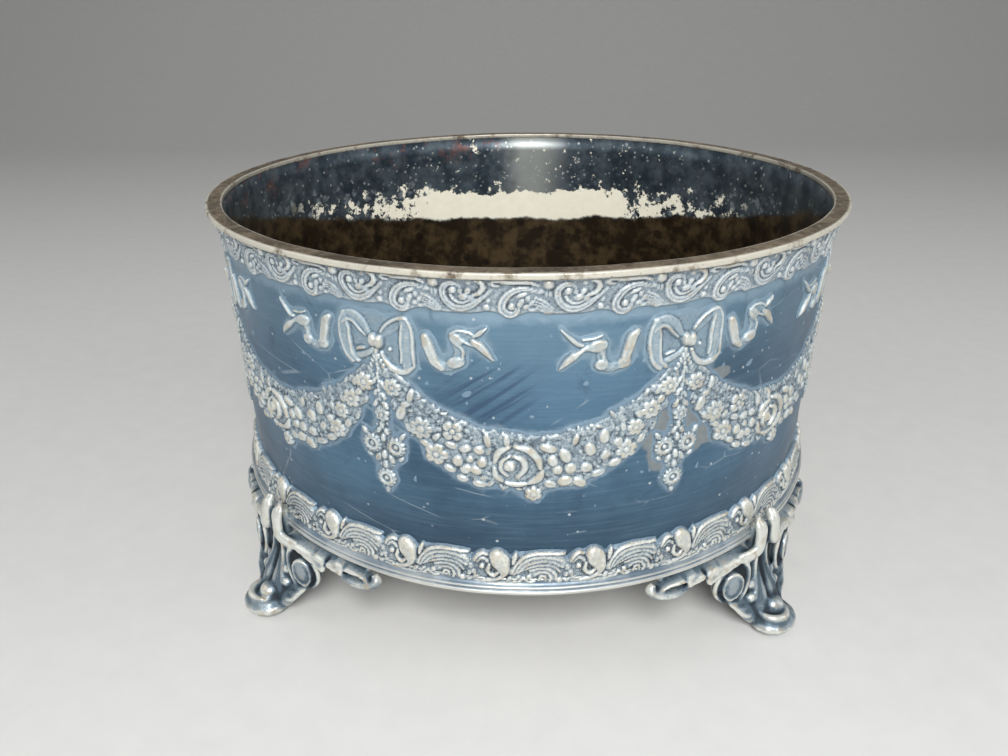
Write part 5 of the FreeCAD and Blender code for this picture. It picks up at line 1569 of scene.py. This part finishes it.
def slate_outside(recipe):
    """Slate blue, with a painted sheen that makes it paler near the top and painted shade that makes it darker low
    down, with an old polish, scratches and specks.
    """
    around, below_rim, z = recipe.around, recipe.below_rim, recipe.z
    colour = recipe.over(tint(52, 78, 100), tint(84, 118, 143), recipe.noise(16, 5, 0.6), 0.3, 0.7)
    # painted sheen: the upper drum is paler, as the lamp lights it there
    colour = recipe.over(colour, tint(120, 152, 172), below_rim, 0.044, 0.014, 0.0, 0.5)
    # painted shade: the drum is darker low down
    colour = recipe.over(colour, tint(46, 66, 84), below_rim, 0.066, 0.086, 0.0, 0.5)
    rubbed = recipe.plus(below_rim, recipe.swing(recipe.noise(90, 4, 0.65), 0.008))
    colour = recipe.over(colour, tint(164, 188, 204), rubbed, 0.0165, 0.0130, 0.0, 0.45)
    colour = recipe.over(colour, tint(150, 176, 194), recipe.brushed, 0.4, 0.75, 0.0, 0.10)
    colour = recipe.over(colour, tint(50, 72, 94), recipe.noise(70, 5, 0.7, None, 1.2), 0.56, 0.70, 0.0, 0.35)
    # slanting dark strokes of an old polish, on one part of the front
    slant = recipe.times(recipe.plus(around, recipe.times(z, -1.4)), 330)
    strokes = recipe.between(recipe.noise(1.0, 3, 0.6, recipe.vector(slant, 0.0, recipe.times(z, 40))), 0.46, 0.60)
    there = recipe.times(recipe.near(around, -0.012, 0.006, 0.017), recipe.near(below_rim, 0.036, 0.005, 0.013))
    colour = recipe.mix(recipe.times(strokes, there, 0.6), colour, tint(50, 70, 98))
    # scratches: thin pale lines along the edges of stretched cells
    stretched = recipe.vector(recipe.times(around, 26), recipe.times(around, 7), recipe.times(z, 75))
    scratches = recipe.between(recipe.cells(1.0, stretched, "DISTANCE_TO_EDGE"), 0.016, 0.004)
    scratches = recipe.times(scratches, recipe.between(recipe.noise(55, 3, 0.6), 0.52, 0.64), 0.35)
    colour = recipe.mix(scratches, colour, tint(190, 204, 212))
    specks = recipe.times(recipe.between(recipe.cells(260), 0.15, 0.07),
                          recipe.between(recipe.noise(60, 2), 0.48, 0.60), 0.75)
    return recipe.mix(specks, colour, tint(206, 214, 218))


def soldered(recipe, colour):
    """Adds pale solder round the mounts and its grey spills, and says how near the solder is."""
    near = recipe.plus(recipe.attribute("solder"), recipe.swing(recipe.noise(190, 4, 0.65), 0.55))
    colour = recipe.over(colour, tint(140, 160, 174), near, 0.10, 0.34, 0.0, 0.62)
    colour = recipe.over(colour, tint(126, 134, 136), near, 0.40, 0.56, 0.0, 0.4)
    spill = recipe.plus(recipe.attribute("spill"), recipe.swing(recipe.noise(170, 4, 0.7), 0.7))
    grey = recipe.mix(recipe.noise(420, 3, 0.65), tint(118, 126, 130), tint(156, 160, 158))
    return recipe.over(colour, grey, spill, 0.40, 0.62, 0.0, 0.85), near


# %% The drum's inside
# how far below the rim's top the edge of the painted shadow of the front rim lies inside
SHADOW_EDGE_DEPTH = 42.0


def dark_band(recipe, above, to_back):
    """The upper band inside: flecks, dried drops, a painted reflection of the lamp as a pale upright band at the back,
    and a little rust.
    """
    colour = recipe.over(tint(48, 60, 70), tint(92, 104, 112), recipe.noise(120, 4, 0.65), 0.35, 0.7)
    flecks = recipe.times(recipe.between(recipe.cells(330), 0.26, 0.14),
                          recipe.between(recipe.noise(90, 3), 0.38, 0.54), 0.75)
    colour = recipe.mix(flecks, colour, tint(176, 182, 180))
    drops_there = recipe.plus(recipe.noise(75, 4, 0.65), recipe.between(above, 0.022, 0.002, -0.20, 0.20))
    dried = recipe.between(recipe.cells(1.0, recipe.shaken(190, 240, 0.55)), 0.42, 0.20)
    dried = recipe.times(dried, recipe.between(drops_there, 0.46, 0.58), recipe.between(to_back, 0.1, 0.5), 0.72)
    colour = recipe.mix(dried, colour, tint(160, 172, 178))
    # painted reflection of the lamp: a pale upright band down the back of the inside
    painted_reflection = recipe.near(recipe.plus(recipe.x, recipe.swing(recipe.noise(60, 3), 0.012)), 0.006, 0.003, 0.020)
    painted_reflection = recipe.times(painted_reflection, recipe.between(to_back, 0.0, 0.9, 0.0, 0.62))
    colour = recipe.mix(painted_reflection, colour, tint(196, 200, 194))
    rust_there = recipe.times(recipe.between(recipe.below_rim, 0.017, 0.005), recipe.between(recipe.x, 0.01, -0.04))
    rust = recipe.times(recipe.between(recipe.noise(110, 4, 0.7), 0.53, 0.64), rust_there, 0.6)
    return recipe.mix(rust, colour, tint(132, 88, 78))


def scale_line(recipe, above, to_back):
    """Where the pale scale lies: a ragged band at the back, which stops at the edge of the painted shadow below it,
    with splashes over it.
    """
    rises = recipe.between(above, 0.0195, 0.002, -0.12, 0.115)
    splash = recipe.plus(recipe.noise(190, 4, 0.72), rises, recipe.between(to_back, 0.45, 0.97, -0.06, 0.10))
    full = recipe.times(recipe.between(to_back, 0.86, 0.955, 0.0, 0.3), recipe.between(above, 0.0145, 0.009))
    # the scale fades out where the painted shadow of the front rim begins
    limits = recipe.times(recipe.between(above, -0.0022, -0.0006), recipe.between(to_back, 0.30, 0.55))
    return recipe.times(recipe.between(recipe.plus(splash, full), 0.60, 0.66), limits)


def stained_and_shaded_inside(recipe):
    """The dark band, the scale, the brown painted shadow of the front rim below them with its dark mottled spots, and
    where the scale lies.
    """
    to_back = recipe.math("DIVIDE", recipe.y, recipe.radius)
    wobble = recipe.swing(recipe.noise(70, 4, 0.65), 0.007)
    shadow_edge = recipe.plus(recipe.z, wobble, recipe.times(recipe.math("SUBTRACT", to_back, 1.0), 0.029))
    above = recipe.math("SUBTRACT", shadow_edge, (rim_top - SHADOW_EDGE_DEPTH) * MM)
    # painted shadow of the front rim: brown and dark below its edge, mottled with dark spots
    brown = recipe.over(tint(44, 34, 22), tint(92, 76, 52), recipe.noise(90, 4, 0.7), 0.4, 0.66)
    brown = recipe.over(brown, tint(24, 18, 14), recipe.cells(110), 0.3, 0.18, 0.0, 0.7)
    colour = recipe.over(dark_band(recipe, above, to_back), brown, above, 0.0, -0.003)
    scaled = scale_line(recipe, above, to_back)
    pale = recipe.mix(recipe.noise(260, 3, 0.6), tint(236, 230, 204), tint(252, 248, 232))
    return recipe.mix(recipe.times(scaled, 0.94), colour, pale), scaled


# %% Both sides in one finish
def drum_finish():
    """The slate blue outside with its painted sheen and shade, and the stained inside with its painted shadow and
    reflection.
    Scale isn't metal, and scale and solder are duller.
    """
    recipe = SheetRecipe("slate plate")
    outside, near_solder = soldered(recipe, slate_outside(recipe))
    inside, scaled = stained_and_shaded_inside(recipe)
    is_outside = recipe.between(recipe.radius, (wall_radius - 0.6) * MM, (wall_radius - 0.4) * MM)
    is_inside = recipe.math("SUBTRACT", 1.0, is_outside)
    rough_outside = recipe.plus(recipe.between(recipe.noise(35, 3), 0.3, 0.7, 0.30, 0.44),
                                recipe.between(near_solder, 0.12, 0.4, 0.0, 0.15))
    rough_inside = recipe.between(scaled, 0.0, 1.0, 0.45, 0.8)
    rough = recipe.plus(recipe.times(is_outside, rough_outside), recipe.times(is_inside, rough_inside))
    bare = recipe.math("SUBTRACT", 1.0, recipe.times(scaled, is_inside))
    normal = recipe.bump(recipe.noise(420, 3, 0.6), 0.00012, 0.25, recipe.bump(recipe.brushed, 0.00004, 0.25))
    return recipe.finish(recipe.mix(is_outside, inside, outside), rough, normal, recipe.times(bare, 0.6))


drum_material = drum_finish()
print("drum finish made")

# %% The rim, the base ring and the bottom
def rim_finish():
    """Brownish grey on top, with pale rubbed edges and a few dark pits."""
    recipe = Recipe("worn rim", 0.4)
    x, y, _ = recipe.parts(recipe.place)
    radius = recipe.from_axis(x, y)
    colour = recipe.over(tint(78, 68, 54), tint(132, 118, 98), recipe.noise(130, 5, 0.7), 0.35, 0.65)
    colour = recipe.over(colour, tint(176, 164, 142), recipe.noise(700, 3, 0.6), 0.55, 0.7, 0.0, 0.6)
    edge = recipe.math("MAXIMUM", recipe.between(radius, (rim_radius - 1.1) * MM, (rim_radius - 0.3) * MM),
                       recipe.between(radius, (rim_inner + 0.8) * MM, (rim_inner + 0.3) * MM, 0.0, 0.8))
    edge = recipe.times(edge, recipe.between(recipe.noise(90, 4, 0.7), 0.34, 0.50))
    colour = recipe.mix(edge, colour, tint(206, 202, 188))
    pits = recipe.times(recipe.between(recipe.cells(600), 0.22, 0.12), recipe.between(recipe.noise(200, 2), 0.5, 0.6),
                        0.6)
    colour = recipe.mix(pits, colour, tint(46, 40, 36))
    colour = recipe.over(colour, tint(60, 56, 56), recipe.attribute("hollow"), 0.55, 0.8, 0.0, 0.5)
    roughness = recipe.between(recipe.noise(300, 3), 0.3, 0.7, 0.36, 0.58)
    return recipe.finish(colour, roughness, recipe.bump(recipe.noise(500, 4, 0.65), 0.0003, 0.5))


def base_finish():
    """The drum's slate blue, with pale painted highlights along the mouldings where they stand out."""
    recipe = Recipe("slate moulding", 0.55)
    depth = recipe.attribute("hollow")
    colour = recipe.over(tint(104, 120, 134), tint(158, 167, 172), recipe.noise(60, 4, 0.6), 0.35, 0.65)
    # painted highlight: pale lines on the beads and edges that stand out
    colour = recipe.over(colour, tint(214, 213, 204), depth, 0.46, 0.26, 0.0, 0.9)
    colour = recipe.over(colour, tint(62, 68, 74), depth, 0.56, 0.75, 0.0, 0.75)
    roughness = recipe.between(recipe.noise(300, 3), 0.3, 0.7, 0.34, 0.52)
    return recipe.finish(colour, roughness, recipe.bump(recipe.noise(600, 3, 0.6), 0.00015, 0.4))


def bottom_finish():
    """Brown and nearly black, the same painted shade as the inside of the drum low down, with dark mottled spots."""
    recipe = Recipe("shaded and stained bottom", 0.3)
    # painted shade: the whole plate is kept dark brown, as the shaded inside is low down
    colour = recipe.over(tint(34, 27, 20), tint(92, 76, 54), recipe.noise(40, 5, 0.7), 0.38, 0.66)
    colour = recipe.over(colour, tint(22, 17, 14), recipe.cells(70), 0.3, 0.15, 0.0, 0.7)
    roughness = recipe.between(recipe.noise(120, 3), 0.3, 0.7, 0.5, 0.75)
    return recipe.finish(colour, roughness, recipe.bump(recipe.noise(180, 4, 0.65), 0.0004, 0.5))


rim_material, base_material, bottom_material = rim_finish(), base_finish(), bottom_finish()
print("plain finishes made")

# %% Each piece gets its finish, rides on the one body and stands for its own solid
def dress(piece, material, slot_name, *nodes):
    """Finishes a piece, lets it ride and says which solids it stands for. The slot name is not used."""
    piece.data.materials.clear()
    piece.data.materials.append(material)
    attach(piece, "root")
    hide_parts(*nodes)


dress(drum, drum_material, "drum_plate", "body_wall")
dress(bottom, bottom_material, "drum_plate", "bottom_plate")
dress(rim, rim_material, "rim_plate", "rim_ring")
dress(base, base_material, "rim_plate", "base_ring")
dress(upper_strip, border_finish, "border_plate", "upper_border")
dress(lower_strip, shell_finish, "border_plate", "lower_border")
for number in range(swag_count):
    dress(swags[number], mount_finish, "mount_plate", f"garland_{number + 1}")
    dress(bows[number], bow_finish, "mount_plate", f"bow_{number + 1}")
    dress(drops[number], mount_finish, "mount_plate", f"drop_{number + 1}")
for number, foot in enumerate(feet, start=1):
    dress(foot, foot_finish, "foot_casting", f"foot_{number}")

# %% [markdown]
# ## Floor and light
# The floor is a pale sheet that curves up far behind, so it has no edge. A wide soft lamp above the camera draws the
# long upright sheen on the drum, a weaker one on each side keeps the sides from going black, and the world fills in.

# %% The floor
def sweep_floor():
    """A pale floor that curves up at the back."""
    turn = np.linspace(0.1, math.pi / 2, 12)
    curve = [(0.9 + 1.1 * math.sin(a), 1.1 - 1.1 * math.cos(a)) for a in turn]
    profile = [(-3.0, 0.0), (0.9, 0.0), *curve, (2.0, 3.0)]
    corners = [(x, y, z) for y, z in profile for x in (-4.0, 4.0)]
    faces = [(2 * i, 2 * i + 1, 2 * i + 3, 2 * i + 2) for i in range(len(profile) - 1)]
    return new_object("pale_floor", corners, faces)


floor = sweep_floor()
floor_recipe = Recipe("pale floor", 0.0)
floor_colour = floor_recipe.mix(floor_recipe.noise(90, 4), tint(206, 206, 204), tint(216, 215, 212))
floor.data.materials.append(floor_recipe.finish(floor_colour, 0.8))

# %% The lamps and the world
def lamp(name, place, target, width, height, power):
    """A soft rectangular lamp that points at a target."""
    data = bpy.data.lights.new(name, "AREA")
    data.shape, data.size, data.size_y, data.energy = "RECTANGLE", width, height, power
    piece = bpy.data.objects.new(name, data)
    direction = Vector(target) - Vector(place)
    piece.matrix_world = Matrix.Translation(place) @ direction.to_track_quat("-Z", "Y").to_matrix().to_4x4()
    bpy.context.scene.collection.objects.link(piece)


lamp("front lamp", (0.03, -0.8, 0.72), (0, 0, 0.08), 0.35, 0.5, 11.5)
lamp("left lamp", (-1.0, -0.1, 0.7), (0, 0, 0.08), 0.5, 0.7, 1.8)
lamp("right lamp", (1.0, -0.2, 0.6), (0, 0, 0.08), 0.4, 0.7, 1.8)
world = bpy.data.worlds.new("studio")
bpy.context.scene.world = world
world.use_nodes = True
world.node_tree.nodes["Background"].inputs["Color"].default_value = (0.8, 0.81, 0.83, 1)
world.node_tree.nodes["Background"].inputs["Strength"].default_value = 0.3
bpy.context.scene.view_settings.view_transform = "Standard"
print("floor and lamps set")
